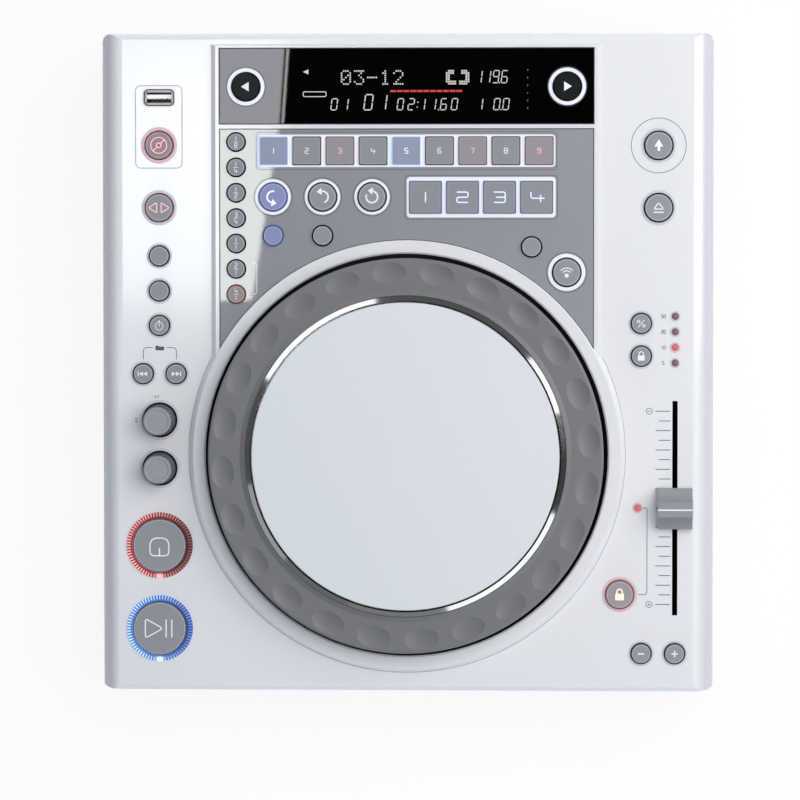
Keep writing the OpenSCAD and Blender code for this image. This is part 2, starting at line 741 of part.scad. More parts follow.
// The key board below the panel, the main board and the supply's board on the floor
module circuit_boards()
    color("darkgreen") {
        on_panel() difference() {
            block([case_w - 18, case_d - 13], board_low, board_top, [0, -0.5]);
            disc(well_r + wall + 1.2, -CUT, CUT, [0, jog_v]);
            block(FADER_BODY + [1, 1], -CUT, CUT, [fader_u, fader_v]);
            block(USB_SHELL + [1, 1], -CUT, CUT, usb_at);
            for (at = BOARD_POSTS) disc(post_screw_r + 0.2, -CUT, CUT, at);
            for (at = CASE_SCREWS) disc(boss_r + 1.2, -CUT, CUT, [at[0], at[1] / cos(slope)]);
        }
        main_board();
        supply_board();
    }

// The main board with its chips and plug headers
module main_board() {
    block(MAIN_BOARD, board_h, board_h + BOARD_T, main_at);
    top = board_h + BOARD_T - EPS;
    for (c = MAIN_CHIPS) block([c[0], c[1]], top, top + chip_h, main_at + [c[2], c[3]]);
    for (x = [-50 : 20 : 50]) block([14, 6], top, top + 8, main_at + [x, MAIN_BOARD[1] / 2 - 16]);
}

// The supply's board, with its transformer, two capacitors and heatsink
module supply_board() {
    block(SUPPLY_BOARD, board_h, board_h + BOARD_T, supply_at);
    top = board_h + BOARD_T - EPS;
    block(TRANSFORMER, top, top + supply_h, supply_at + [8, 0]);
    for (y = [-32, 32]) disc(9, top, top + supply_h, supply_at + [-24, y]);
    block([3, 60], top, top + supply_h, supply_at + [36, 0]);
}

// A key switch: a square body with a bore for the key's stem
module key_switch(at)
    difference() {
        block([SWITCH_SIDE, SWITCH_SIDE], board_top, switch_top, at);
        disc(STEM_R + SEAT, switch_top - SWITCH_BORE, switch_top + 1, at);
    }

module key_switches()
    color("gray") on_panel() {
        for (k = ROUND_KEYS) key_switch(k[1]);
        for (at = concat(BEAT_KEYS, FX_KEYS, PADS)) key_switch(at);
    }

module light_guides()
    color("ivory") on_panel() {
        for (k = ROUND_KEYS) if (k[5] > 0) difference() {
            disc(k[2] + k[3] + k[5], seat_w, plate_top + PROUD, k[1]);
            disc(k[2] + k[3], 0, CUT, k[1]);
        }
        for (at = [cue_at, play_at]) translate([at[0], at[1], 0]) cue_ring();
        key_frame(fx_frame, [0, fx_v], FX_KEYS, fx_size);
        key_frame(pad_frame, pad_mid, PADS, pad_size);
        for (at = LEDS) {
            disc(led_r, board_top, PROUD, at);
            disc(led_r - 0.4, PROUD - EPS, 2 * PROUD, at);
        }
    }

// The ring around the cue or the play key, sloping down to its outside
module cue_ring() {
    r0 = cue_key_r + cue_key_gap;
    r1 = r0 + cue_ring_w;
    rotate_extrude()
        polygon([[r0, -wall / 2], [r1, -wall / 2], [r1, PROUD], [r1 - 0.4, 0.7], [r0 + 0.3, 1.2], [r0, 0.9]]);
}

// The clear frame around a row of square keys
module key_frame(size, mid, keys, key_size)
    difference() {
        square_prism(size, 2, seat_w, plate_top + PROUD, mid);
        for (at = keys) square_prism([1, 1] * (key_size + 2 * square_gap), 1, 0, CUT, at);
    }

// ---------- Keys ----------

// A round key: its cap, its retaining flange and the stem that enters the switch
module round_key(at, r, gap, face)
    translate([at[0], at[1], 0]) rotate_extrude()
        polygon([[0, stem_low], [STEM_R, stem_low], [STEM_R, flange_low], [r + gap + FLANGE_W, flange_low],
                 [r + gap + FLANGE_W, flange_top], [r, flange_top], [r, face + key_proud - key_bevel],
                 [r - key_bevel, face + key_proud], [0, face + key_proud]]);

module panel_key(k)
    color(k[1][1] > window_low && k[4] > 0 ? "dimgray" : "gray")
        on_panel() round_key(k[1], k[2], k[3], k[4]);

// A square key with the same flange and stem
module square_key(at, size) {
    wide = size + 2 * (square_gap + SQUARE_FLANGE);
    top = plate_top + key_proud - 0.4;
    square_prism([size, size], 0.8, flange_top - EPS, top, at);
    block([wide, wide], flange_low, flange_top, at);
    disc(STEM_R, stem_low, flange_low + EPS, at);
}

module pad(i) color("gray") on_panel() square_key(PADS[i], pad_size);

module fx_keys() color("gray") on_panel() for (at = FX_KEYS) square_key(at, fx_size);

module beat_keys()
    color("gray") on_panel() for (at = BEAT_KEYS)
        round_key(at, beat_key_r, beat_key_gap - 0.2, plate_top);

// ---------- Knobs and fader ----------

module rotary_encoders()
    color("silver") on_panel() for (at = KNOBS) difference() {
        union() {
            block([ENCODER_SIDE, ENCODER_SIDE], board_top, board_top + 5, at);
            disc(4.5, board_top, bushing_top, at);
        }
        disc(SHAFT_R + RUN, board_top + 1, CUT, at);
    }

// A knob with its encoder shaft
module knob(at)
    color("gray") on_panel(at) rotate_extrude()
        polygon([[0, board_top + 1.5], [SHAFT_R, board_top + 1.5], [SHAFT_R, knob_low], [knob_r, knob_low],
                 [knob_r, 1], [knob_top_r + 0.35, knob_h - 0.7], [knob_top_r - 0.35, knob_h],
                 [knob_top_r - 1, knob_h], [knob_top_r - 1.5, knob_h - 0.4], [0, knob_h - 0.4]]);

module search_knob() knob(search_at);
module trax_knob() knob(trax_at);

// The fader's channel, with its carriage's space inside and the lever's slot in its top
module fader_body()
    color("silver") on_panel([fader_u, fader_v]) difference() {
        block(FADER_BODY, fader_low, fader_high);
        block(CARRIAGE + [2 * SLIDE, fader_travel + 2], fader_low + SHEET, fader_high - SHEET);
        block([LEVER[0] + 4 * SLIDE, slot_l], fader_low + SHEET, fader_high + 1);
    }

module fader_lever()
    color("silver") on_panel([fader_u, fader_v]) {
        block(CARRIAGE, fader_low + SHEET + SLIDE, fader_high - SHEET - SLIDE);
        block(LEVER, fader_low + 3, lever_top);
    }

// The fader's cap: a high ridge across the middle, with a finger scoop before and behind it
module fader_cap() {
    half = cap_l / 2;
    scoop = [for (i = [0 : ARC_STEPS])
        let (a = 90 * i / ARC_STEPS)
        [half - (half - cap_ridge) * sin(a), cap_lip + (cap_h - 0.6 - cap_lip) * (1 - cos(a))]];
    edge = concat([[half, cap_low]], scoop, [[cap_ridge - 0.5, cap_h]]);
    mirrored = [for (i = [len(edge) - 1 : -1 : 0]) [-edge[i][0], edge[i][1]]];
    color("gray") on_panel([fader_u, fader_v]) difference() {
        translate([-cap_w / 2, 0, 0]) rotate([90, 0, 90]) linear_extrude(cap_w)
            polygon(concat(edge, mirrored));
        block(LEVER + [2, 2] * RUN, 0, lever_top + SEAT);
        block([cap_w - 4, 8], 0, 2 * cap_low);
    }
}

// ---------- Ports ----------

// The USB port: a shell with a bezel on the panel, and the tongue inside
module usb_port()
    color("silver") on_panel(usb_at) {
        difference() {
            union() {
                block(USB_SHELL, -usb_depth, 0.5);
                square_prism(USB_BEZEL, 1, 0, 0.7);
            }
            block(USB_SHELL - [0.8, 0.8], -usb_depth + 1, 2);
        }
        block(USB_TONGUE, -usb_depth + 1 - EPS, -2, [0, 0.6]);
    }

// Barrel and insulator of one phono socket
module phono_socket()
    difference() {
        union() {
            rear_disc(phono_r, -12, 9);
            rear_disc(phono_r + 1, -12, 0.8);
        }
        rear_disc(phono_bore_r, 1.5, 10);
    }

module usb_b_socket() {
    difference() {
        rear_box(USB_B, -usb_b_deep - 3.5, 0.6);
        rear_box(USB_B_MOUTH, -usb_b_deep, 1);
    }
    rear_box(USB_B_BLOCK, -usb_b_deep - EPS, -1.5);
}

// The three-pin mains inlet: a flange on the wall, a hollow body and its blades
module power_inlet() {
    difference() {
        union() {
            rear_box(inlet_size, -inlet_deep, EPS);
            rear_box(inlet_size + [4, 4], 0, 2.4);
        }
        rear_box(inlet_size - [3, 3], -inlet_deep + 2, 3);
    }
    for (p = INLET_BLADES) translate([p[0], 0, p[1]]) rear_box([2, 4], -inlet_deep + 2 - EPS, -4.5);
}

module rocker_frame()
    difference() {
        union() {
            rear_box(ROCKER_FRAME, 0, 1);
            rear_box(ROCKER_FRAME - [2, 2], -13, 0.5);
        }
        translate([0, -rocker_back, 0]) rotate([0, 90, 0])
            cylinder(r = rocker_r + SEAT, h = rocker_w + 2 * SLIDE, center = true);
    }

module rear_sockets()
    color("silver") {
        for (at = PHONOS) on_wall(at) phono_socket();
        on_wall(usb_b_at) usb_b_socket();
        on_wall(inlet_at) power_inlet();
        on_wall(rocker_at) rocker_frame();
    }

// The rocker turns on its round back; its two flats meet in a shallow V
module power_rocker()
    color("black") on_wall(rocker_at) translate([0, -rocker_back, 0]) rotate([rocker_tilt, 0, 0])
        intersection() {
            rotate([0, 90, 0]) cylinder(r = rocker_r, h = rocker_w, center = true);
            rotate([90, 0, 90]) linear_extrude(rocker_w + 2, center = true)
                polygon([[-rocker_r, -rocker_r], [rocker_back + 3, -rocker_r], [rocker_back + 1.4, 0],
                         [rocker_back + 3, rocker_r], [-rocker_r, rocker_r]]);
        }

// ---------- Jog wheel ----------

// The spindle and its flange on the well's floor
module jog_bearing()
    color("silver") on_panel([0, jog_v]) rotate_extrude()
        polygon([[0, -well_depth], [hub_r + 8, -well_depth], [hub_r + 8, -well_depth + bearing_h / 2],
                 [spindle_r + 3, -well_depth + bearing_h / 2], [spindle_r + 3, -well_depth + bearing_h],
                 [spindle_r, -well_depth + bearing_h], [spindle_r, spindle_top], [0, spindle_top]]);

// The platter: a hub on the spindle, a web and the bright rim inside the grip ring
module jog_platter()
    color("gainsboro") on_panel([0, jog_v]) rotate_extrude()
        polygon([[spindle_r + RUN, -well_depth + bearing_h + SLIDE], [hub_r, -well_depth + bearing_h + SLIDE],
                 [hub_r, web_low], [rim_out, web_low], [rim_out, rim_low - 0.3],
                 [rim_in + 0.8, jog_top], [rim_in, jog_top], [rim_in, web_top],
                 [spindle_r + RUN, web_top]]);

// The rubber grip ring: a skirt outside, a flat top with finger dimples, a bevel to the rim
module jog_grip_ring()
    color("gray") on_panel([0, jog_v]) difference() {
        rotate_extrude()
            polygon([[rim_out + SEAT, web_low], [grip_r - grip_wall, web_low], [grip_r - grip_wall, ring_low],
                     [grip_r, ring_low], [grip_r, grip_h - 1], [grip_r - 1, grip_h],
                     [grip_r - grip_w, grip_h], [rim_out + SEAT, rim_low]]);
        for (i = [0 : dimple_count - 1]) rotate(first_dimple + i * 360 / dimple_count)
            translate([grip_r - grip_w / 2, 0, grip_h + dimple_ball - dimple_depth]) sphere(dimple_ball);
    }

module jog_top_plate()
    color("whitesmoke") on_panel([0, jog_v]) rotate_extrude()
        polygon([[0, web_top], [rim_in - SEAT, web_top], [rim_in - SEAT, jog_top - 0.1],
                 [rim_in - SEAT - 0.4, jog_top + 0.2], [0, jog_top + 0.2]]);

// ---------- Disc drive ----------

module drive_frame()
    color("silver") {
        mid = [0, drive_front + drive_d / 2];
        difference() {
            union() {
                difference() {
                    block([drive_w, drive_d], drive_low, drive_top, mid);
                    block([drive_w, drive_d] - [2, 2] * SHEET, drive_low + SHEET, drive_top + 1, mid);
                }
                for (y = [rail_y0, rail_y1])
                    block([2 * rail_x + 6, 6], drive_low + SHEET / 2, rail_z + 4, [0, y]);
                disc(motor_r, drive_low + SHEET / 2, hub_plate - 0.3, [0, hub_y]);
                disc(2 * gear_post, drive_low + SHEET / 2, gear_z - gear_t / 2 - SLIDE, [gear_x, gear_y]);
                disc(gear_post, drive_low + SHEET / 2, gear_z + gear_t / 2 + 1, [gear_x, gear_y]);
            }
            block([slot_w + 1, 4 * SHEET], slot_z - slot_h / 2 - 0.5, slot_z + slot_h / 2 + 0.5,
                  [0, drive_front]);
            disc(1 + RUN, drive_low + SHEET + 1, slot_z, [0, hub_y]);
            rails(rail_l + 20);
            translate([0, roller_y, roller_z]) rotate([0, 90, 0])
                cylinder(r = roller_shaft + RUN, h = 2 * drive_w, center = true);
        }
        rails(rail_l + 6);
        block([drive_w, drive_d], drive_top, drive_top + SHEET, mid);
    }

// The two rails that the sled slides on
module rails(length)
    for (s = [-1, 1]) translate([s * rail_x, rail_mid, rail_z]) rotate([90, 0, 0])
        cylinder(r = rail_r, h = length, center = true);

module feed_roller()
    color("dimgray") translate([0, roller_y, roller_z]) rotate([0, 90, 0]) {
        cylinder(r = roller_r, h = slot_w - 2, center = true);
        cylinder(r = roller_shaft, h = drive_w + 1, center = true);
    }

module disc_hub()
    color("black") translate([0, hub_y, 0]) rotate_extrude()
        polygon([[0, drive_low + SHEET + 2], [1, drive_low + SHEET + 2], [1, hub_plate], [14, hub_plate],
                 [14, hub_rest], [7.4, hub_rest], [7.2, hub_top - 1.2], [5.5, hub_top], [0, hub_top]]);

// The rack's teeth point to +X; a tooth's middle lies at y = 0 on the pitch line x = 0
module rack_profile(length) {
    teeth = floor(length / rack_pitch / 2);
    thick = rack_pitch / 4 - 0.12;
    slant = tan(20);
    root = -1.3 * gear_module;
    tip = 0.95 * gear_module;
    translate([-3 * gear_module, -length / 2]) square([1.75 * gear_module, length]);
    for (i = [-teeth : teeth]) if (abs(i * rack_pitch) < length / 2 - rack_pitch / 2)
        translate([0, i * rack_pitch])
            polygon([[root, -thick + root * slant], [tip, -thick + tip * slant],
                     [tip, thick - tip * slant], [root, thick - root * slant]]);
}

// A point of the involute of the base circle rb, unrolled by t degrees
function involute(rb, t) = let (k = t * PI / 180) [rb * (cos(t) + k * sin(t)), rb * (sin(t) - k * cos(t))];
function turned(p, a) = [p[0] * cos(a) - p[1] * sin(a), p[0] * sin(a) + p[1] * cos(a)];

// One tooth's outline, centred on +X, with its tip at the outside radius
function tooth_points(count, m) =
    let (
        r = count * m / 2, rb = r * cos(20), tip = r + 0.95 * m,
        at_pitch = sqrt(pow(r / rb, 2) - 1) * 180 / PI,
        at_tip = sqrt(pow(tip / rb, 2) - 1) * 180 / PI,
        pitch_point = involute(rb, at_pitch),
        half = 90 / count - 0.12 / r * 180 / PI + atan2(pitch_point[1], pitch_point[0]),
        flank = [for (i = [0 : 5]) turned(involute(rb, at_tip * i / 5), -half)]
    )
    concat([turned([r - 1.25 * m, 0], -half)], flank,
           [for (i = [5 : -1 : 0]) [flank[i][0], -flank[i][1]]], [turned([r - 1.25 * m, 0], half)]);

module gear_profile(count, m)
    polygon([for (i = [0 : count - 1]) each [for (p = tooth_points(count, m)) turned(p, i * 360 / count)]]);

// The sled on its two rails, with the lens on top and the rack along its right side
module laser_sled()
    color("dimgray") {
        low = rail_z - 4;
        difference() {
            union() {
                block([sled_w, sled_d], low, rail_z + 3.5, [0, sled_y]);
                disc(lens_r, rail_z + 3, rail_z + lens_top, [0, sled_y]);
                translate([rack_x, sled_y, rack_z - gear_t / 2 + 0.3])
                    linear_extrude(gear_t - 0.6) rack_profile(rack_l);
            }
            for (s = [-1, 1]) translate([s * rail_x, sled_y, rail_z]) rotate([90, 0, 0])
                cylinder(r = rail_r + RUN, h = sled_d + 2, center = true);
            disc(lens_r - 3.8, rail_z + lens_top - 0.6, rail_z + lens_top + 1, [0, sled_y]);
        }
    }

// The gear turns on its post and meshes with the rack at rest
module sled_gear()
    color("white") translate([gear_x, gear_y, gear_z - gear_t / 2]) difference() {
        linear_extrude(gear_t) rotate(gear_phase) gear_profile(gear_teeth, gear_module);
        translate([0, 0, -1]) cylinder(r = gear_post + RUN, h = gear_t + 2);
    }

// ---------- The nodes ----------

top_housing();
rear_panel();
bottom_housing();
control_panel();
display_window();
display_module();
circuit_boards();
key_switches();
light_guides();
rubber_feet();
housing_screws();
rear_sockets();
power_rocker();
usb_port();
fader_body();
fader_lever();
fader_cap();
rotary_encoders();
search_knob();
trax_knob();
jog_bearing();
jog_platter();
jog_grip_ring();
jog_top_plate();
drive_frame();
feed_roller();
disc_hub();
laser_sled();
sled_gear();
fx_keys();
beat_keys();
for (i = [0 : pad_count - 1]) pad(i);
for (k = ROUND_KEYS) panel_key(k);
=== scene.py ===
"""The looks of the tabletop disc player: materials, printed marks, lit parts, studio and camera."""

import math

import bmesh
import bpy
from mathutils import Matrix, Vector


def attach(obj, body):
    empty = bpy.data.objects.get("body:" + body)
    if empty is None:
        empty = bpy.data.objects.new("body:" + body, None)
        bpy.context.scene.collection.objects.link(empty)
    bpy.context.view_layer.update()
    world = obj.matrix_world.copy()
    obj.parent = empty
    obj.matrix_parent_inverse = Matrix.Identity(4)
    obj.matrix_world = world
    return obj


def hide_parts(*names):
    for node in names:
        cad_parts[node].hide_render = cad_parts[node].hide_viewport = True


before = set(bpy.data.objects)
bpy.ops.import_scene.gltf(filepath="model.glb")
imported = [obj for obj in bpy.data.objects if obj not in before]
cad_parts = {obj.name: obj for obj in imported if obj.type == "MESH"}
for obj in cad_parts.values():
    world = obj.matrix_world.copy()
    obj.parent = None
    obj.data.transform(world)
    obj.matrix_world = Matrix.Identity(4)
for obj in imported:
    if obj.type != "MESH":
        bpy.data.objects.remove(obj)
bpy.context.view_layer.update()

scene = bpy.context.scene

# The sloped panel's own frame in millimetres: u to the right, v up the slope, w out of the panel
MM = Matrix.Scale(.001, 4)
RISE, DEPTH, MIDDLE = 20, 332, 78  # the panel's rise over the case's depth, and the height of its middle
SLOPE = math.atan(RISE / DEPTH)
PANEL = Matrix.Translation((0, 0, MIDDLE / 1000)) @ Matrix.Rotation(SLOPE, 4, "X") @ MM

# Heights over the panel: the control plate, and the faces of its round and square keys and of the housing's
PLATE, PLATE_KEY, SQUARE_KEY, HOUSING_KEY = 3.3, 5.2, 4.8, 1.9

# ------ Places on the panel ------

BIG, SMALL, DECK = 6.85, 4.75, 13.25  # radii of the round keys' faces
SMALL_ON_HOUSING = {
    "bank_key": (-125.3, 54), "single_key": (-125.3, 36.3), "menu_key": (-125.3, 18.8),
    "previous_key": (-133.6, -5.65), "next_key": (-116.9, -5.65), "range_key": (118.4, 20),
    "key_lock_key": (118.4, 3.5), "bend_minus_key": (118.6, -147), "bend_plus_key": (135.5, -147)}
KEYS = {name: (at, r, top) for r, top, places in (
    (BIG, PLATE_KEY, {
        "track_left_key": (-81, 139.3), "track_right_key": (81, 139.3), "loop_in_key": (-67.3, 83.8),
        "loop_out_key": (-42.3, 83.8), "reloop_key": (-17.3, 83.8), "tap_key": (80.8, 45.8)}),
    (BIG, HOUSING_KEY, {
        "mode_key": (-125.3, 109.9), "reverse_key": (-125.3, 78.4), "shift_key": (127, 109.6),
        "eject_key": (127, 78.3), "pitch_lock_key": (107.7, -117.1)}),
    (DECK, HOUSING_KEY, {"cue_key": (-125.5, -92.8), "play_key": (-125.5, -135)}),
    (SMALL, PLATE_KEY, {"save_key": (-67.3, 64.3), "sampler_key": (-42.3, 64.3), "sync_key": (63.1, 58.6)}),
    (SMALL, HOUSING_KEY, SMALL_ON_HOUSING)) for name, at in places.items()}
CUE, PLAY, SHIFT, MODE, PITCH_LOCK = (
    KEYS[name + "_key"][0] for name in ("cue", "play", "shift", "mode", "pitch_lock"))
BEATS = [(-86, 111.5 - 12.8 * i) for i in range(7)]
FX = [((i - 4) * 16.73, 107) for i in range(9)]
FX_BLUE, FX_RED, FX_PLAIN = (0, 4), (2, 6, 8), (1, 3, 5, 7)
PADS = [(9.7 + 18.65 * i, 83.6) for i in range(4)]
KNOBS = {"search_knob": (-125.3, -29.1), "trax_knob": (-125.3, -53.6)}
LENSES = [(135.5, 23.6 - 7.85 * i) for i in range(4)] + [(116.7, -73.2)]
LENSES_ON = (2, 4)  # the lit ones, counted from 0
FADER, JOG, USB = (135.5, -73.35), (0, -46.5), (-125.2, 134)


# ------ Material graphs ------

def tone(r, g, b):
    """A colour given as it looks on screen, 0 to 255, as a linear colour."""
    return tuple(c / 255 / 12.92 if c <= 10 else ((c / 255 + .055) / 1.055) ** 2.4 for c in (r, g, b)) + (1,)


def scaled(colour, k):
    return tuple(min(1, c * k) for c in colour[:3]) + (1,)


class Nodes:
    """Short calls that add nodes to the empty tree of a material or world."""

    def __init__(self, owner):
        owner.use_nodes = True
        self.tree = owner.node_tree
        self.tree.nodes.clear()

    def set(self, socket, value):
        if isinstance(value, bpy.types.NodeSocket):
            self.tree.links.new(value, socket)
        else:
            socket.default_value = value

    def add(self, kind, *inputs, props=(), **named):
        node = self.tree.nodes.new("ShaderNode" + kind)
        for key, value in dict(props).items():
            setattr(node, key, value)
        for i, value in enumerate(inputs):
            if value is not None:
                self.set(node.inputs[i], value)
        for key, value in named.items():
            self.set(node.inputs[key.replace("_", " ")], value)
        return node

    def math(self, operation, a, b=0, c=0):
        return self.add("Math", a, b, c, props={"operation": operation}).outputs[0]


class Graph(Nodes):
    """A material with a Principled shader."""

    def __init__(self, name, **settings):
        self.material = bpy.data.materials.new(name)
        super().__init__(self.material)
        self.shader = self.add("BsdfPrincipled", **settings)
        self.output = self.add("OutputMaterial", self.shader.outputs[0])
        self.position = self.add("TexCoord").outputs["Object"]
        self.on_panel = None

    def give(self, **named):
        for key, value in named.items():
            self.set(self.shader.inputs[key.replace("_", " ")], value)
        return self

    def base(self):
        """What gives the base colour so far."""
        return self.shader.inputs["Base Color"].links[0].from_socket

    def mix(self, factor, a, b):
        node = self.add("Mix", props={"data_type": "RGBA"})
        for i, value in ((0, factor), (6, a), (7, b)):
            self.set(node.inputs[i], value)
        return node.outputs[2]

    def ramp(self, value, *stops):
        """Grey levels at places from 0 to 1, with straight slopes between them."""
        node = self.add("ValToRGB", value)
        elements = node.color_ramp.elements
        while len(elements) < len(stops):
            elements.new(0)
        for element, (place, level) in zip(elements, stops):
            element.position = place
        for element, (place, level) in zip(elements, stops):
            element.color = (level, level, level, 1)
        return node.outputs[0]

    def range(self, value, low, high, to_low=0, to_high=1):
        return self.add("MapRange", value, low, high, to_low, to_high, props={"clamp": True}).outputs[0]

    def noise(self, scale, detail=2, at=None):
        return self.add("TexNoise", Vector=at or self.position, Scale=scale, Detail=detail).outputs[0]

    def uvw(self):
        """The place in the panel's frame, in millimetres, as three outputs."""
        if not self.on_panel:
            shift = Matrix.Rotation(-SLOPE, 3, "X") @ Vector((0, 0, MIDDLE))
            node = self.add("Mapping", self.position, tuple(-shift), (-SLOPE, 0, 0), (1000, 1000, 1000))
            self.on_panel = self.add("SeparateXYZ", node.outputs[0]).outputs
        return self.on_panel

    def xyz(self):
        """The place over the table, in millimetres."""
        node = self.add("Mapping", self.position, None, None, (1000, 1000, 1000))
        return self.add("SeparateXYZ", node.outputs[0]).outputs

    def polar(self, centre):
        """Distance and angle (0 to 1, from the left, counterclockwise) around a place on the panel."""
        u, v, w = self.uvw()
        du, dv = self.math("SUBTRACT", u, centre[0]), self.math("SUBTRACT", v, centre[1])
        distance = self.math("SQRT", self.math("ADD", self.math("MULTIPLY", du, du), self.math("MULTIPLY", dv, dv)))
        return distance, self.math("MULTIPLY_ADD", self.math("ARCTAN2", dv, du), .5 / math.pi, .5)

    def bump(self, height, strength, depth=.0002):
        node = self.add("Bump", Strength=strength, Distance=depth, Height=height)
        self.set(self.shader.inputs["Normal"], node.outputs[0])
        return self


def moulded(name, rgb, rough, grain, depth, speckle, smudge=.06, **settings):
    """Moulded plastic, rubber or paint: fine grain of a scale and depth, mottling, and handling marks in the gloss."""
    g = Graph(name, **settings)
    colour = tone(*rgb)
    fine = g.noise(grain, 3)
    cloud = g.noise(14, 4)
    g.give(Base_Color=g.mix(g.math("MULTIPLY_ADD", fine, .7, g.math("MULTIPLY", cloud, .3)),
                            scaled(colour, 1 - speckle), scaled(colour, 1 + speckle)),
           Roughness=g.range(g.noise(45, 5), .35, .7, rough - smudge / 2, rough + smudge / 2))
    return g.bump(fine, depth)


def tinted(name, rgb, rough, r, spots, **settings):
    """Moulded plastic with another colour within a radius of some places of the panel: (place, rgb)."""
    g = moulded(name, rgb, rough, 2600, .12, .04, **settings)
    for centre, other in spots:
        g.give(Base_Color=g.mix(g.range(g.polar(centre)[0], r, r - .4), g.base(), tone(*other)))
    return g


def metal(name, rgb, rough, brush=(1, 1, 1)):
    """Metal whose fine scratches run along the axis that brush makes small."""
    g = Graph(name, Metallic=1)
    colour = tone(*rgb)
    lines = g.noise(900, 4, g.add("Mapping", g.position, None, None, brush).outputs[0])
    g.give(Base_Color=g.mix(lines, scaled(colour, .94), scaled(colour, 1.06)),
           Roughness=g.range(lines, .3, .7, rough * .8, rough * 1.25))
    return g.bump(lines, .12)


def lit(name, rgb, strength, body=None):
    """A lit mark, rim or lens: its light varies slightly, as behind a diffuser."""
    g = Graph(name, Base_Color=tone(*body) if body else (.02, .02, .02, 1), Roughness=.35)
    colour = tone(*rgb)
    glow = g.mix(g.noise(400), scaled(colour, .86), colour)
    return g.give(Emission_Color=glow, Emission_Strength=strength)


# ------ Shapes ------

def arc(centre, r, start, end, steps=24):
    """Points on a circle, angles in degrees from +u, counterclockwise."""
    angles = [math.radians(start + (end - start) * i / steps) for i in range(steps + 1)]
    return [(centre[0] + r * math.cos(a), centre[1] + r * math.sin(a)) for a in angles]


def rounded(points, r, closed=True, steps=5):
    """The polygon or line with its corners rounded."""
    out = []
    n = len(points)
    for i, p in enumerate(points):
        if not closed and i in (0, n - 1):
            out.append(p)
            continue
        p = Vector(p)
        before, after = Vector(points[i - 1]) - p, Vector(points[(i + 1) % n]) - p
        cut = min(r, before.length * .49, after.length * .49)
        a, b = p + before.normalized() * cut, p + after.normalized() * cut
        for k in range(steps + 1):
            t = k / steps
            out.append(tuple(a * (1 - t) ** 2 + p * 2 * t * (1 - t) + b * t ** 2))
    return out


def rectangle(w, h, at=(0, 0)):
    return [(at[0] + s * w / 2, at[1] + t * h / 2) for s, t in ((-1, -1), (1, -1), (1, 1), (-1, 1))]


def ngon(r, n, at):
    return arc(at, r, 0, 360 - 360 / n, n - 1)


def grid(rows, columns, around=False, closed=False):
    """Quads between rows of points: around joins the last row to the first, closed joins each row's ends."""
    return [(i * columns + k, (i + 1) % rows * columns + k, (i + 1) % rows * columns + (k + 1) % columns,
             i * columns + (k + 1) % columns)
            for i in range(rows if around else rows - 1) for k in range(columns if closed else columns - 1)]


def new_object(name, data):
    obj = bpy.data.objects.new(name, data)
    scene.collection.objects.link(obj)
    return obj


class Shape:
    """Collects faces around a place of the panel, or of another frame, and makes them one object."""

    def __init__(self, at=(0, 0), frame_of=PANEL):
        self.points, self.faces, self.at, self.frame_of = [], [], at, frame_of

    def add(self, points, faces):
        n = len(self.points)
        self.points += [(p[0] + self.at[0], p[1] + self.at[1], p[2]) for p in points]
        self.faces += [[n + i for i in f] for f in faces]
        return self

    def prism(self, outline, low, high):
        n = len(outline)
        sides = [(i, (i + 1) % n, (i + 1) % n + n, i + n) for i in range(n)]
        return self.add([(u, v, z) for z in (low, high) for u, v in outline],
                        [tuple(range(n))[::-1], tuple(range(n, 2 * n))] + sides)

    def bar(self, points, width, low, high, closed=False):
        """A stroke of even width along the points, with mitred corners."""
        n, left, right = len(points), [], []
        for i, p in enumerate(points):
            p = Vector(p)
            before = p - Vector(points[i - 1]) if closed or i else None
            after = Vector(points[(i + 1) % n]) - p if closed or i < n - 1 else None
            a, b = (before or after).normalized(), (after or before).normalized()
            normal = Vector((-a.y - b.y, a.x + b.x))
            normal = normal.normalized() if normal.length > 1e-6 else Vector((-a.y, a.x))
            reach = width / 2 / max(.35, normal.dot(Vector((-a.y, a.x))))
            left.append(tuple(p + normal * reach))
            right.append(tuple(p - normal * reach))
        ring = [(u, v, z) for z in (low, high) for side in (left, right) for u, v in side]
        faces = []
        for i in range(n if closed else n - 1):
            j = (i + 1) % n
            faces += [(n + i, n + j, j, i), (2 * n + i, 2 * n + j, 3 * n + j, 3 * n + i),
                      (i, j, 2 * n + j, 2 * n + i), (n + j, n + i, 3 * n + i, 3 * n + j)]
        if not closed:
            faces += [(0, 2 * n, 3 * n, n), (n - 1, 2 * n - 1, 4 * n - 1, 3 * n - 1)]
        return self.add(ring, faces)

    def ring(self, centre, r0, r1, low, high, steps=48):
        return self.lathe(centre, [(r0, low), (r1, low), (r1, high), (r0, high)], steps, closed=True)

    def lathe(self, centre, profile, steps=48, closed=False):
        """The profile, as (radius, height) points, turned around a place."""
        turns = [2 * math.pi * i / steps for i in range(steps)]
        points = [(centre[0] + r * math.cos(a), centre[1] + r * math.sin(a), z) for a in turns for r, z in profile]
        return self.add(points, grid(steps, len(profile), True, closed))

    def make(self, name, graph, body, slot, smooth=30):
        """One object that rides on a body; edges sharper than smooth, in degrees, stay sharp."""
        mesh = bpy.data.meshes.new(name)
        mesh.from_pydata([self.frame_of @ Vector(p) for p in self.points], [], self.faces)
        work = bmesh.new()
        work.from_mesh(mesh)
        bmesh.ops.remove_doubles(work, verts=work.verts, dist=1e-7)
        bmesh.ops.recalc_face_normals(work, faces=work.faces)
        work.to_mesh(mesh)
        work.free()
        for face in mesh.polygons:
            face.use_smooth = True
        mesh.set_sharp_from_angle(angle=math.radians(smooth))
        mesh.materials.append(graph.material)
        obj = new_object(name, mesh)
        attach(obj, body)
        return obj


# ------ Materials ------

def key_plastic(name, *rgb):
    return moulded(name, rgb, .5, 2600, .1, .04, IOR=1.4)


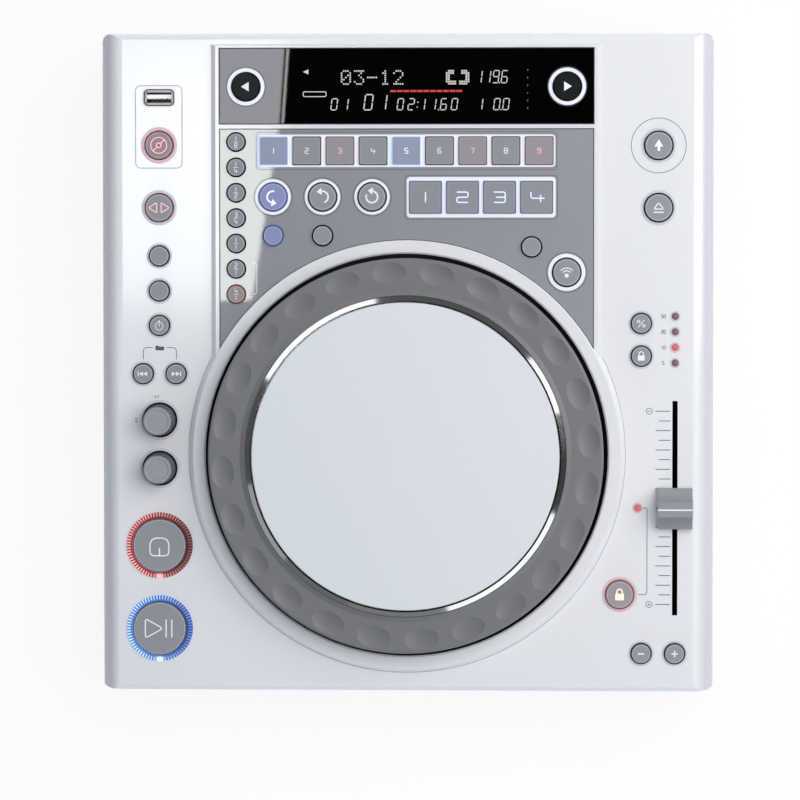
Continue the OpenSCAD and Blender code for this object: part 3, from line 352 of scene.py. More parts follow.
def ink(name, *rgb, rough=.5, speckle=.03):
    """Thin lines, printed or moulded in."""
    return moulded(name, rgb, rough, 3000, .05, speckle)


def housing_paint():
    """Glossy white, with painted shade that makes the left and right sides greyer and bluer, though less so lower down.
    """
    g = moulded("housing_paint", (230, 230, 232), .34, 3000, .03, .008, .015,
                Coat_Weight=1, Coat_Roughness=.085, IOR=1.45)
    # Painted shade: the rounded sides greyed and blued, as where less light falls
    side = g.range(g.math("ABSOLUTE", g.xyz()[0]), 146.5, 154)
    side = g.math("MULTIPLY", side, g.range(g.uvw()[2], -24, -8, .15))
    return g.give(Base_Color=g.mix(side, g.base(), tone(190, 191, 204)))


def plate_paint():
    """The control plate: satin grey paint over metal, with fine grain, and painted light that makes it lighter towards
    the right.
    """
    g = Graph("control_plate", IOR=1.67)
    # Painted light: the plate grows lighter towards the right
    painted_light_to_right = g.range(g.uvw()[0], -100, 100)
    fine = g.noise(3200, 3)
    base = g.mix(painted_light_to_right, tone(152, 154, 159), tone(162, 164, 170))
    g.give(Base_Color=g.mix(fine, base, tone(142, 145, 151)), Roughness=g.range(g.noise(60, 4), .35, .7, .006, .01))
    return g.bump(fine, .002)


def chrome():
    """The wheel's turned rim: fine rings around the wheel's axis."""
    g = Graph("turned_rim", Metallic=1, Anisotropic=.4, Anisotropic_Rotation=.25)
    rings = g.add("TexNoise", W=g.math("MULTIPLY", g.polar(JOG)[0], 9), Scale=1, Detail=3,
                  props={"noise_dimensions": "1D"}).outputs[0]
    g.give(Base_Color=g.mix(rings, tone(222, 224, 228), tone(240, 241, 243)),
           Roughness=g.range(rings, .3, .7, .07, .14),
           Tangent=g.add("Tangent", props={"direction_type": "RADIAL", "axis": "Z"}).outputs[0])
    return g.bump(rings, .006, .0001)


def board_green():
    """Solder mask over paler tracks, with golden pads."""
    g = Graph("circuit_board", Roughness=.35)
    x, y, _ = g.xyz()
    tracks = g.add("TexBrick", Vector=g.add("CombineXYZ", x, y, 0).outputs[0], Scale=.16, Mortar_Size=.03,
                   Color1=tone(22, 92, 52), Color2=tone(26, 104, 60), Mortar=tone(48, 128, 84)).outputs[0]
    dots = g.add("TexVoronoi", Vector=g.position, Scale=260).outputs["Distance"]
    return g.give(Base_Color=g.mix(g.range(dots, .16, .12), tracks, tone(196, 180, 120))).bump(dots, .1)


def port():
    """The USB port: a plated shell, with painted shade darkening its inside, and a pale tongue brightened by painted
    light.
    """
    g = Graph("usb_port", Roughness=.3)
    _, v, w = g.uvw()
    # Painted shade: darker and less metallic deeper inside the port
    inside = g.range(w, .1, -.4)
    from_tongue = g.math("ABSOLUTE", g.math("SUBTRACT", v, USB[1] + .6))
    tongue = g.math("MULTIPLY", g.math("LESS_THAN", from_tongue, 1.05), g.range(w, -1.5, -1.8))
    colour = g.mix(tongue, g.mix(inside, tone(190, 190, 194), tone(22, 22, 24)), tone(226, 226, 230))
    shine = g.math("MULTIPLY", g.math("SUBTRACT", 1, inside), .8)
    # Painted light: the tongue glows, though no lamp is in it
    g.give(Emission_Color=tone(216, 218, 224), Emission_Strength=g.math("MULTIPLY", tongue, .5))
    return g.give(Base_Color=colour, Metallic=shine).bump(g.noise(1500, 3), .03)


def sockets():
    """The rear sockets, black but for a red, a white and an orange phono socket: the colour follows the place."""
    g = Graph("socket_plastic", Roughness=.4)
    x, _, z = g.xyz()
    pair = g.mix(g.range(z, 49.9, 50.1), tone(188, 36, 38), tone(222, 222, 224))
    colour = g.mix(g.math("GREATER_THAN", x, 46), tone(34, 34, 36), pair)
    at_digital = g.math("MULTIPLY", g.math("GREATER_THAN", x, 8), g.math("LESS_THAN", x, 32))
    colour = g.mix(at_digital, colour, tone(214, 120, 36))
    fine = g.noise(2200, 3)
    return g.give(Base_Color=g.mix(g.math("MULTIPLY", fine, .12), colour, tone(120, 120, 122))).bump(fine, .15)


BLACK = moulded("black_plastic", (26, 26, 28), .5, 2000, .3, .12)
GRIP = moulded("grip_rubber", (112, 113, 115), .46, 1500, .05, .04, .04, IOR=1.5)
STEEL = metal("plated_steel", (196, 198, 200), .32, (1, 1, .12))
# Painted light: tints on the faces of the lit fx keys, for the glow of their lights
FX_GLOW_TINTS = ((144, 151, 172), (147, 142, 147), (144, 152, 174), (148, 142, 147), (149, 142, 146))

# What the CAD's nodes are made of
MATERIALS = {
    housing_paint(): ["top_housing"], BLACK: ["rear_panel"],
    moulded("lower_plastic", (106, 108, 112), .55, 2000, .35, .05): ["bottom_housing"],
    moulded("foot_rubber", (34, 34, 36), .8, 1200, .5, .12): ["rubber_feet"],
    moulded("gloss_black", (4, 4, 5), .004, 3000, .001, .2, .002, IOR=1.5): ["display_window", "display_module"],
    moulded("switch_plastic", (30, 30, 32), .5, 2000, .2, .1): ["key_switches", "power_rocker"],
    moulded("light_guide", (232, 235, 242), .25, 1800, .03, .02,
            Emission_Color=tone(230, 234, 246), Emission_Strength=.12): ["light_guides"],
    moulded("roller_rubber", (60, 62, 64), .7, 1600, .4, .1): ["feed_roller"],
    moulded("hub_plastic", (40, 42, 45), .45, 2000, .2, .1): ["disc_hub", "laser_sled"],
    moulded("gear_plastic", (230, 228, 220), .45, 2400, .1, .02): ["sled_gear"],
    STEEL: ["housing_screws", "fader_lever", "rotary_encoders", "jog_bearing"],
    metal("sheet_steel", (176, 180, 184), .38, (.1, 1, 1)): ["drive_frame"],
    metal("black_sheet", (34, 35, 38), .5, (1, .1, 1)): ["fader_body"],
    plate_paint(): ["control_panel"], board_green(): ["circuit_boards"], port(): ["usb_port"],
    sockets(): ["rear_sockets"], GRIP: ["jog_grip_ring"], chrome(): ["jog_platter"],
    moulded("jog_plate", (216, 220, 222), .38, 3200, .05, .012, .05, IOR=1.5): ["jog_top_plate"],
    moulded("fader_plastic", (140, 142, 147), .42, 2400, .15, .04): ["fader_cap"],
    tinted("knob_plastic", (92, 94, 99), .42, 7.15, [(at, (147, 150, 156)) for at in KNOBS.values()]): KNOBS,
    key_plastic("key_plastic", 143, 145, 151): KEYS,  # and over it those of another colour
    moulded("black_key_plastic", (17, 19, 22), .3, 2600, .1, .1, IOR=1.33): ["track_left_key", "track_right_key"],
    # Painted light: copies of the key plastic tinted by the glow of the lit keys' lights
    key_plastic("key_plastic_painted_blue_glow", 134, 142, 184): ["loop_in_key", "save_key"],
    key_plastic("key_plastic_painted_pink_glow", 158, 134, 139): ["mode_key"],
    key_plastic("key_plastic_painted_rose_glow", 156, 147, 151): ["pitch_lock_key"],
    # Painted light: the last beat key's face tinted by the glow of its red light
    tinted("beat_key_plastic", (138, 140, 146), .5, 5, [(BEATS[-1], (150, 138, 140))], IOR=1.4): ["beat_keys"],
    # Painted light: the lit fx keys' faces tinted by their lights' glow
    tinted("square_key_plastic", (140, 142, 148), .4, 9.8, zip(FX[::2], FX_GLOW_TINTS), IOR=1.4): [
        "fx_keys", "pad_1", "pad_2", "pad_3", "pad_4"],
}
for graph, names in MATERIALS.items():
    for name in names:
        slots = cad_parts[name].data.materials
        if len(slots) == 0:
            slots.append(graph.material)
        for i in range(len(slots)):
            slots[i] = graph.material

# What the pieces of this script are made of
SHELL = metal("port_shell", (200, 202, 206), .28, (1, .15, 1))
FELT = moulded("slot_felt", (30, 30, 33), .95, 5200, .6, .25)
# Painted shadow: a dark matte colour for rings and lines put into gaps, where shade falls
GAP_SHADE = moulded("gap_shadow", (14, 14, 17), .9, 2600, .1, .2, IOR=1.3)
SLATE = moulded("gap_slate", (50, 52, 58), .8, 2600, .1, .1)
# Painted shade: the bezels' grey, darker than the housing, stands for the shade on their slopes
SHADED_BEZEL = moulded("bezel_grey_painted_shade", (204, 206, 216), .3, 3000, .05, .02, Coat_Weight=.5, Coat_Roughness=.1)
LINE_WHITE = ink("print_white", 236, 238, 242)
PALE_LINE = ink("print_pale", 158, 161, 170)
# Painted shadow: grey for the line at the collar's foot
COLLAR_SHADOW = ink("collar_shade_ink", 168, 172, 184)
LINE_GREY = ink("print_grey", 150, 152, 158, speckle=.04)
LINE_DARK = ink("print_dark", 84, 87, 94, speckle=.04)
# Painted highlights: pale rings just inside the keys' faces, where their bevels catch the light
BEVEL_HIGHLIGHT = ink("key_bevel_highlight", 176, 179, 187, rough=.35)
SOFT_BEVEL_HIGHLIGHT = ink("square_key_bevel_highlight", 151, 153, 159, rough=.4)
SEGMENT = lit("display_light", (214, 216, 206), 1)
SEGMENT_RED = lit("display_red", (214, 52, 62), 1)
MARK_LIT = lit("key_mark_light", (245, 247, 252), .9, (150, 150, 155))
MARK_WARM = lit("key_mark_warm", (255, 240, 204), .95, (170, 160, 130))
MARK_BLUE = lit("key_mark_blue", (228, 236, 255), .95, (120, 140, 190))
MARK_RED = lit("key_mark_red", (236, 196, 196), .8, (190, 140, 140))
MARK_ROSE = lit("key_mark_rose", (228, 166, 166), .8, (170, 130, 132))
BLUE = lit("gap_blue", (70, 84, 160), .6, (40, 50, 90))
GLOW_BLUE = lit("gap_glow_blue", (160, 196, 255), 1, (90, 110, 160))
NAVY = lit("gap_navy", (84, 98, 168), .6, (44, 52, 88))
RED = lit("gap_red", (120, 48, 62), .6, (80, 30, 34))
RUST = lit("gap_rust", (150, 84, 66), .7, (90, 44, 34))
ROSE = lit("halo_rose", (120, 92, 98), .4, (206, 184, 190))
PINK = lit("halo_pink", (150, 110, 122), .5, (206, 178, 190))
# Painted light: the unlit lenses glow faintly
LENS = lit("lens_unlit_glow", (120, 84, 88), .25, (110, 84, 88))
LENS_RED = lit("lens_red", (200, 106, 110), .8, (104, 60, 62))


# ------ Key faces ------

def edge_over(face):
    """Where a painted line of highlight or shade along an edge starts, just inside a face, and where it ends over it.
    """
    return face - .03, face + .04


def mark_over(face):
    """The same for a symbol or figure."""
    return face - .03, face + .05


FIGURES = {
    "0": [[(0, 0), (2, 0), (2, 4), (0, 4), (0, 0)]],
    "1": [[(1, 0), (1, 4)]],
    "2": [[(0, 4), (2, 4), (2, 2), (0, 2), (0, 0), (2, 0)]],
    "3": [[(0, 4), (2, 4), (2, 0), (0, 0)], [(.4, 2), (2, 2)]],
    "4": [[(0, 4), (0, 1.6), (2.4, 1.6)], [(1.7, 3), (1.7, 0)]],
    "5": [[(2, 4), (0, 4), (0, 2), (2, 2), (2, 0), (0, 0)]],
    "6": [[(2, 4), (0, 4), (0, 0), (2, 0), (2, 2), (0, 2)]],
    "7": [[(0, 4), (2, 4), (.8, 0)]],
    "8": [[(0, 0), (2, 0), (2, 4), (0, 4), (0, 0)], [(0, 2), (2, 2)]],
    "9": [[(2, 2), (0, 2), (0, 4), (2, 4), (2, 0), (0, 0)]],
}


def figures(shape, text, size, width, low, high, at, wide=1, radius=.8):
    """Plain numbers in strokes, centred at a place; size is the height of a figure."""
    k, step = size / 4, 2.9
    span = (len(text) - 1) * step + 2
    for i, letter in enumerate(text):
        for line in FIGURES[letter]:
            points = [(at[0] + (u + i * step - span / 2) * k * wide, at[1] + (v - 2) * k) for u, v in line]
            shape.bar(rounded(points, radius * k, False) if len(points) > 2 else points, width, low, high)


def icon(s, key, low, high):
    """The symbol of a key, around the middle of its face."""
    def line(*points, width, closed=False, r=0):
        s.bar(rounded(points, r, closed) if r else list(points), width, low, high, closed)

    def solid(*points):
        s.prism(list(points), low, high)

    if key == "shift":
        solid((-2.2, -.7), (-.6, -.4), (-.6, -2.8), (.6, -2.8), (.6, -.4), (2.2, -.7), (0, 3))
    elif key == "eject":
        line((-2.5, -.7), (2.5, -.7), (0, 2.6), width=.5, closed=True, r=.9)
        line((-2.6, -2.3), (2.6, -2.3), width=.6)
    elif key == "play":
        line((-7.3, -5), (1.7, 0), (-7.3, 5), width=.62, closed=True, r=1.7)
        for u in (3.3, 6.2):
            line((u, -4.6), (u, 4.6), width=.65)
    elif key == "cue":
        line((0, -5.2), (-4.8, -5.2), (-4.8, 3.8), (4.8, 3.8), (4.8, -5.2), width=.62, closed=True, r=4)
        line((0, -4.9), (0, -1.2), width=.65)
    elif key in ("previous", "next"):
        f = 1 if key == "next" else -1
        for shift in (-2.1, 0):
            solid(*[(f * (shift + a), b) for a, b in ((0, -1.2), (0, 1.2), (2, 0))][::f])
        line((f * 2.4, -1.25), (f * 2.4, 1.25), width=.5)
    elif key in ("bend_minus", "bend_plus"):
        line((-1.6, 0), (1.6, 0), width=.72)
        if key == "bend_plus":
            line((0, -1.6), (0, 1.6), width=.72)
    elif key == "range":
        line((-1.5, -1.9), (1.5, 1.9), width=.4)
        for at in ((-1.35, 1.1), (1.35, -1.1)):
            s.ring(at, .45, .85, low, high, 16)
    elif key in ("key_lock", "pitch_lock"):
        k = 1 if key == "key_lock" else 1.25
        solid((-1.7 * k, -2.2 * k), (1.7 * k, -2.2 * k), (1.7 * k, .4 * k), (-1.7 * k, .4 * k))
        line((-1.1 * k, .4 * k), *arc((0, 1.2 * k), 1.1 * k, 180, 0, 10), (1.1 * k, .4 * k), width=.45 * k)
    elif key == "menu":
        s.ring((0, -.3), 1.75, 2.1, low, high, 28)
        line((0, 1.8), (0, 2.6), width=.7)
        line((0, -.3), (0, .9), width=.4)
    elif key == "mode":
        s.ring((0, 0), 3.8, 4.25, low, high, 40)
        s.ring((0, 0), .95, 1.45, low, high, 24)
        for f in (-1, 1):
            line((f, f), (f * 2.7, f * 2.7), width=.45)
    elif key == "reverse":
        for f in (-1, 1):
            line(*[(f * a, b) for a, b in ((1.1, -2.6), (5.3, 0), (1.1, 2.6))][::f], width=.45, closed=True, r=.8)
    elif key in ("loop_in", "loop_out", "reloop"):
        start, end = {"loop_in": (75, 258), "loop_out": (-70, 98), "reloop": (-205, 82)}[key]
        line(*arc((0, 0), 2.9, start, end), width=.85)
        tip, a = Vector(arc((0, 0), 2.9, end, end, 1)[0]), math.radians(end + 90)
        ahead, out = Vector((math.cos(a), math.sin(a))), Vector((math.sin(a), -math.cos(a)))
        solid(*[tuple(p) for p in (tip + ahead * 2.5, tip - out * 1.9, tip + out * 1.9)])
    elif key == "tap":
        finger = (0, -1.6)
        s.prism(ngon(1.05, 20, finger), low, high)
        for r in (2.4, 3.8):
            line(*arc(finger, r, 40, 140), width=.5)
    elif key in ("track_left", "track_right"):
        f = 1 if key == "track_right" else -1
        solid(*[(f * a, b) for a, b in ((-1.6, -2.4), (2.3, 0), (-1.6, 2.4))][::f])
    elif key in ("bank", "single"):
        for a in (-1.9, 0, 1.9):
            s.prism(ngon(.42, 12, (a, 0)), low, high)


# Symbols that aren't white, and keys without one
INKS = {"shift_key": MARK_LIT, "pitch_lock_key": MARK_WARM, "mode_key": MARK_RED, "reverse_key": MARK_RED,
        "loop_in_key": MARK_BLUE, "bank_key": LINE_GREY, "single_key": LINE_GREY}
BARE = ("save_key", "sampler_key", "sync_key")
for name, (at, r, top) in KEYS.items():
    body, black = name + "_body", name.startswith("track")
    if not black:
        # Painted highlight: a pale ring where the key's bevel catches the light
        inside = r - .55 if r == DECK else r * .89
        Shape().ring(at, inside, inside + .3, *edge_over(top), 64).make(name + "_edge", BEVEL_HIGHLIGHT, body, "key_grey")
    if name not in BARE:
        s = Shape(at)
        icon(s, name.removesuffix("_key"), *mark_over(top))
        s.make(name + "_mark", INKS.get(name, LINE_WHITE), body, "key_black" if black else "key_grey")

edges, marks = Shape(), Shape()
for (u, v), fraction in zip(BEATS, ("18", "14", "12", "34", "11", "21", "41")):
    # Painted highlight along the beat key's bevel
    edges.ring((u, v), 3.75, 4, *edge_over(PLATE_KEY))
    for figure, rise in zip(fraction, (1.75, -1.75)):
        figures(marks, figure, 2.3, .32, *mark_over(PLATE_KEY), (u, v + rise))
    marks.bar([(u - 1.2, v), (u + 1.2, v)], .28, *mark_over(PLATE_KEY))
edges.make("beat_keys_edges", BEVEL_HIGHLIGHT, "beat_keys_body", "key_grey")
marks.make("beat_keys_marks", LINE_WHITE, "beat_keys_body", "key_grey")

edges = Shape()
for at in FX:
    # Painted highlight along the fx key's bevel
    edges.bar(rounded(rectangle(12.5, 12.5, at), .8), .3, *edge_over(SQUARE_KEY), closed=True)
edges.make("fx_keys_edges", SOFT_BEVEL_HIGHLIGHT, "fx_keys_body", "key_grey")
for name, chosen, graph in (
        ("blue", FX_BLUE, MARK_BLUE), ("red", FX_RED, MARK_ROSE), ("white", FX_PLAIN, LINE_WHITE)):
    s = Shape()
    for i in chosen:
        figures(s, str(i + 1), 2.6, .4, *mark_over(SQUARE_KEY), FX[i], 1.3)
    s.make(f"fx_keys_marks_{name}", graph, "fx_keys_body", "key_grey")
for number, at in enumerate(PADS, 1):
    pad = f"pad_{number}"
    # Painted highlight along the pad's bevel
    Shape().bar(rounded(rectangle(14.4, 14.4, at), .9), .3, *edge_over(SQUARE_KEY), closed=True).make(
        pad + "_edge", SOFT_BEVEL_HIGHLIGHT, pad + "_body", "key_grey")
    s = Shape()
    figures(s, str(number), 5.2, .6, *mark_over(SQUARE_KEY), at, 2.2, .9)
    s.make(pad + "_mark", MARK_BLUE, pad + "_body", "key_grey")


# ------ Lit rings, gap lights, painted gap shadows and lenses ------

RIBS = 68
# Brightness by angle, 0 to 1 from the left and counterclockwise
RING_LEVELS = ((0, .9), (.15, 1), (.21, .7), (.3, .45), (.38, .2), (.5, .1), (.62, .2), (.72, .5), (.82, .75), (1, .9))


def ring_light(name, centre, groove, rib, spot):
    """A light ring, brightest at the left, with a spot at the bottom: groove and rib are (unlit, lit) colours."""
    g = Graph(name, Base_Color=scaled(groove[0], .2), Roughness=.3)
    distance, angle = g.polar(centre)
    level = g.ramp(angle, *RING_LEVELS)
    wave = g.math("COSINE", g.math("MULTIPLY", angle, 2 * RIBS * math.pi))
    on_rib = g.math("MULTIPLY", g.range(wave, -.1, .45), g.range(distance, 14.3, 15.2))
    colour = g.mix(on_rib, g.mix(level, *groove), g.mix(level, *rib))
    hot = g.math("MULTIPLY", g.range(angle, .222, .246), g.range(angle, .278, .254))
    colour = g.mix(g.math("MULTIPLY", hot, g.range(distance, 14, 14.8)), colour, spot)
    return g.give(Emission_Color=colour, Emission_Strength=1.1)


def ribbed_ring(name, centre, graph):
    """Ribs along the radius, on the guide's own slope."""
    rows = []
    for i in range(RIBS):
        for share, lift in ((-.3, .3), (.3, .3), (.34, .06), (.66, .06)):
            a = 2 * math.pi * (i + share) / RIBS
            row = [(r * math.cos(a), r * math.sin(a), z + lift)
                   for r, z in ((13.78, .93), (14.05, 1.24), (16.35, .74), (16.78, .34))]
            rows.append([(*row[0][:2], .2), *row, (*row[-1][:2], .1)])
    points = [p for row in rows for p in row]
    Shape(centre).add(points, grid(len(rows), len(rows[0]), True)).make(name, graph, "case", "light_clear", smooth=20)


ribbed_ring("cue_ring_ribs", CUE, ring_light(
    "cue_ring_light", CUE, (tone(34, 16, 22), tone(158, 30, 42)), (tone(96, 50, 58), tone(252, 200, 204)),
    tone(255, 196, 196)))
ribbed_ring("play_ring_ribs", PLAY, ring_light(
    "play_ring_light", PLAY, (tone(30, 50, 116), tone(52, 126, 206)), (tone(84, 118, 196), tone(226, 244, 255)),
    tone(230, 252, 255)))

# Thin rims in the gaps around the round keys: inner radius, width, foot and top. The coloured rims glow with the keys'
# lights; the dark ones are painted shadow.
for r, width, foot, top, rims in (
        (6.95, .55, 1.6, PLATE + .12, {"loop_in_key": BLUE, "loop_out_key": GAP_SHADE, "reloop_key": GAP_SHADE, "tap_key": GAP_SHADE}),
        (4.85, .6, 1.6, PLATE + .1, {"save_key": BLUE, "sampler_key": GAP_SHADE, "sync_key": GAP_SHADE}),
        (6.95, .5, -1, .1, {"mode_key": RED, "reverse_key": RED, "pitch_lock_key": RUST, "shift_key": GAP_SHADE,
                            "eject_key": GAP_SHADE}),
        (4.85, .55, -1, .08, dict.fromkeys(SMALL_ON_HOUSING, SLATE))):
    for name, graph in rims.items():
        Shape().ring(KEYS[name][0], r, r + width, foot, top, 64).make(name + "_gap_rim", graph, "case", "light_clear")

# Painted shadow: dark rims in the gaps around the unlit beat keys
s = Shape()
for at in BEATS[:-1]:
    s.ring(at, 4.4, 4.95, 1.6, PLATE + .1)
s.make("beat_key_rims", GAP_SHADE, "case", "panel_black")
Shape().ring(BEATS[-1], 4.4, 4.95, 1.6, PLATE + .12).make("beat_key_light", RED, "case", "light_clear")

# Rims in the gaps around the fx keys and pads: the coloured ones glow with the keys' lights, the dark ones are painted
# shadow
for name, places, size, graph in (
        ("fx_rims_blue", [FX[i] for i in FX_BLUE], 14.15, GLOW_BLUE),
        ("fx_rims_red", [FX[i] for i in FX_RED], 14.15, RED),
        ("fx_rims_dark", [FX[i] for i in FX_PLAIN], 14.15, GAP_SHADE), ("pad_rims", PADS, 16.25, NAVY)):
    s = Shape()
    for at in places:
        s.bar(rounded(rectangle(size, size, at), .7), .36, 2.4, PLATE + .6, closed=True)
    s.make(name, graph, "case", "light_clear")

# Bezels pressed around keys and lenses of the housing, greyed with painted shade for their slopes; the lit ones are
# halos
SUNK = -.05


def big_bezel(crest, shoulder, outer):
    return [(7.75, SUNK), (7.75, .16), (crest, .22), (shoulder, .1), (outer, SUNK)]


s = Shape()
for name in ("reverse_key", "shift_key", "eject_key"):
    s.lathe(KEYS[name][0], big_bezel(8.2, 8.9, 9), 64)
for at in SMALL_ON_HOUSING.values():
    s.lathe(at, [(5.65, SUNK), (5.65, .14), (6, .18), (6.5, .08), (6.6, SUNK)])
s.make("key_bezels", SHADED_BEZEL, "case", "housing_white")
Shape().lathe(MODE, big_bezel(8.4, 9.2, 9.3), 64).make("mode_key_halo", PINK, "case", "light_clear")
Shape().lathe(PITCH_LOCK, big_bezel(8.3, 8.9, 9), 64).make("pitch_lock_halo", ROSE, "case", "light_clear")

bezel, halo, dark, bright = Shape(), Shape(), Shape(), Shape()
for i, at in enumerate(LENSES):
    around, lens = (halo, bright) if i in LENSES_ON else (bezel, dark)
    around.lathe(at, [(1.85, SUNK), (1.9, .3), (2.3, .36), (2.65, .2), (2.7, SUNK)], 32)
    lens.lathe(at, [(1.84, .05), (1.7, .45), (1.2, .75), (.6, .9), (.02, .93)], 24)
bezel.make("lens_bezels", SHADED_BEZEL, "case", "housing_white")
halo.make("lens_halos", ROSE, "case", "light_clear")
dark.make("lenses_off", LENS, "case", "light_clear")
bright.make("lenses_on", LENS_RED, "case", "light_clear")


# ------ Printed marks on the housing ------

low, high = -.02, .05
Shape().bar(rounded(rectangle(23.6, 41.6, (-125.4, 119.2)), 3), .42, low, high, closed=True).make(
    "housing_frames", PALE_LINE, "case", "housing_white")

s = Shape()
s.ring(SHIFT, 13.65, 13.95, low, high, 96)
for start, way in ((92, 1), (186, -1)):  # chevrons around the upper knob
    for step in (0, 7):
        tip, tail = start + way * step, start + way * (step + 4)
        chevron = [arc(KNOBS["search_knob"], r, a, a, 1)[0] for r, a in ((11.2, tail), (11.9, tip), (12.6, tail))]
        s.bar(chevron, .28, low, high)
u = -125.2  # brackets and a folder between two small keys
for f in (-1, 1):
    s.bar(rounded([(u + f * 3.6, 7.6), (u + f * 8.4, 7.6), (u + f * 8.4, 1.6)], 2, False), .35, low, high)
s.prism(rounded([(-127.4, 6.2), (-127.4, 8.6), (-126, 8.6), (-125.5, 8.1), (-123, 8.1), (-123, 6.2)], .3), low, high)
ticks = [-24.3 - 4.89 * i for i in range(21)]
for i, v in enumerate(ticks):
    s.bar([(127.3 if i % 2 else 125.7, v), (133.2, v)], .4, low, high)
u, arm = 122.5, .8  # minus and plus at the ends of the pitch scale
for v in (ticks[0], ticks[-1]):
    s.ring((u, v), 1.35, 1.65, low, high, 24)
    s.bar([(u - arm, v), (u + arm, v)], .28, low, high)
s.bar([(u, ticks[-1] - arm), (u, ticks[-1] + arm)], .28, low, high)
s.bar(rounded([(119.5, -73.2), (121.5, -73.2), (121.5, -117.1), (117, -117.1)], 1.6, False), .34, low, high)
for (u, v), text in zip(LENSES, ("50", "20", "10", "5")):
    figures(s, text, 1.7, .3, low, high, (u - 6, v))
s.make("housing_marks", LINE_DARK, "case", "housing_white")

# ------ Printed marks on the control plate and the window ------

low, high = PLATE - .02, PLATE + .05
Shape().bar(rounded([(-79, 34.7), (-75.6, 34.7), (-75.6, 50.5), (-78.2, 50.5)], 1.6, False), .32, low, high).make(
    "plate_marks", LINE_WHITE, "case", "plate_grey")

s = Shape()
for name, r in (("loop_in_key", 9.5), ("loop_out_key", 9.5), ("reloop_key", 9.5), ("tap_key", 9.95),
                ("track_left_key", 9.7), ("track_right_key", 9.7)):
    s.ring(KEYS[name][0], r, r + .3, low, high, 72)
s.bar(rounded(rectangle(151.7, 18.9, (0, 107)), 2), .25, low, high, closed=True)
s.bar(rounded(rectangle(76.8, 22.1, (37.7, 83.6)), 2), .25, low, high, closed=True)
s.make("guide_outlines", LINE_DARK, "case", "plate_grey")

# Painted shadow: black lines in the seams around the window and the plate
low, high = 3, PLATE + .04
s = Shape()
s.bar(rectangle(188.9, 38.1, (0, 139.6)), .5, low, high, closed=True)
corners = [(-94.3, 7.6), (-94.3, 118), (94.3, 118), (94.3, 7.6)]
s.bar(corners + arc(JOG, 108.6, 30, 150, 60)[1:-1], .45, low, high, closed=True)
s.make("plate_seam_shadows", BLACK, "case", "panel_black")


# ------ Display ------

PIXEL = .51


def screen(px, py):
    """The panel's millimetres for a place given in pixels of the photograph."""
    return (px * .9896 - 402.4) * PIXEL, (359.7 - py) * PIXEL


SEGMENTS = {"0": "abcdef", "1": "bc", "2": "abged", "6": "afgedc", "9": "abcdfg"}
ENDS = {"a": ((0, 1), (1, 1)), "b": ((1, 1), (1, .5)), "c": ((1, .5), (1, 0)), "d": ((0, 0), (1, 0)),
        "e": ((0, 0), (0, .5)), "f": ((0, .5), (0, 1)), "g": ((0, .5), (1, .5))}
SLANT = .13


def seven(s, text, left, top, bottom, width, thick, pitch):
    """Seven-segment figures, slanted; a point or a colon stands between two of them."""
    (u0, v1), (_, v0) = screen(left, top), screen(left, bottom)
    h, x = v1 - v0, 0

    def spot(a, b):
        return u0 + x + a * width + b * h * SLANT, v0 + b * h

    for letter in text:
        if letter in ".:":
            for b in ((0,) if letter == "." else (.25, .68)):
                s.prism(rectangle(.55, .55, spot(-.3, b)), low, high)
            continue
        for k in SEGMENTS[letter]:
            p, q = (Vector(spot(*end)) for end in ENDS[k])
            step = (q - p).normalized() * thick * .55
            s.bar([tuple(p + step), tuple(q - step)], thick, low, high)
        x += pitch


# Rows of five dots each, as hexadecimal numbers
DOTS = {"0": "0e 11 13 15 19 11 0e", "1": "04 0c 04 04 04 04 0e", "2": "0e 11 01 02 04 08 1f",
        "3": "1f 02 04 02 01 11 0e", "-": "00 00 00 1f 00 00 00", "<": "0e 1e 18 18 18 1f 0f",
        ">": "0e 0f 03 03 03 1f 1e"}


def dots(s, text, left, top, step, size, pitch):
    for i, letter in enumerate(text):
        for row, bits in enumerate(DOTS[letter].split()):
            for column in range(5):
                if int(bits, 16) >> (4 - column) & 1:
                    at = screen(left + i * pitch + column * step, top + row * step)
                    s.prism(rectangle(size, size, at), low, high)


low, high = PLATE, PLATE + .05
s = Shape()
dots(s, "03-12", 342, 71.2, 2.13, .72, 13.1)
dots(s, "<>", 447, 71.2, 2.1, .84, 13.2)
for text, left, top, bottom, width, thick, pitch in (
        ("119.6", 475.5, 71, 83, 2.8, .46, 4.3), ("01", 331, 98.5, 109.5, 2.9, .48, 5.4),
        ("01", 364, 94.5, 109.5, 3.9, .55, 7.0), ("02:11.60", 397.2, 98.5, 109.5, 2.8, .46, 5.45),
        ("1", 476, 98.5, 109.5, 2.9, .48, 5), ("0.0", 493.5, 98.5, 109.5, 2.8, .46, 4.6)):
    seven(s, text, left, top, bottom, width, thick, pitch)
u, v = screen(306, 72)
s.prism([(u + 1.4, v - 1.2), (u + 1.4, v + 1.2), (u - 1.4, v)], low, high)
s.bar(rounded(rectangle(11.6, 2.4, screen(315, 94)), .9), .4, low, high, closed=True)
s.make("display_figures", SEGMENT, "case", "display_glass")
s = Shape()
for i in range(11):
    s.prism(rectangle(2.9, 1, screen(393.5 + 6.6 * i, 91)), low, high)
s.make("display_bars", SEGMENT_RED, "case", "display_glass")
s = Shape()
for i in range(6):
    s.prism(rectangle(.5, .9, screen(527.6, 70.5 + 7.5 * i)), low, high)
s.make("display_scale", LINE_DARK, "case", "display_glass")


# ------ Knobs, fader, wheel, ports ------

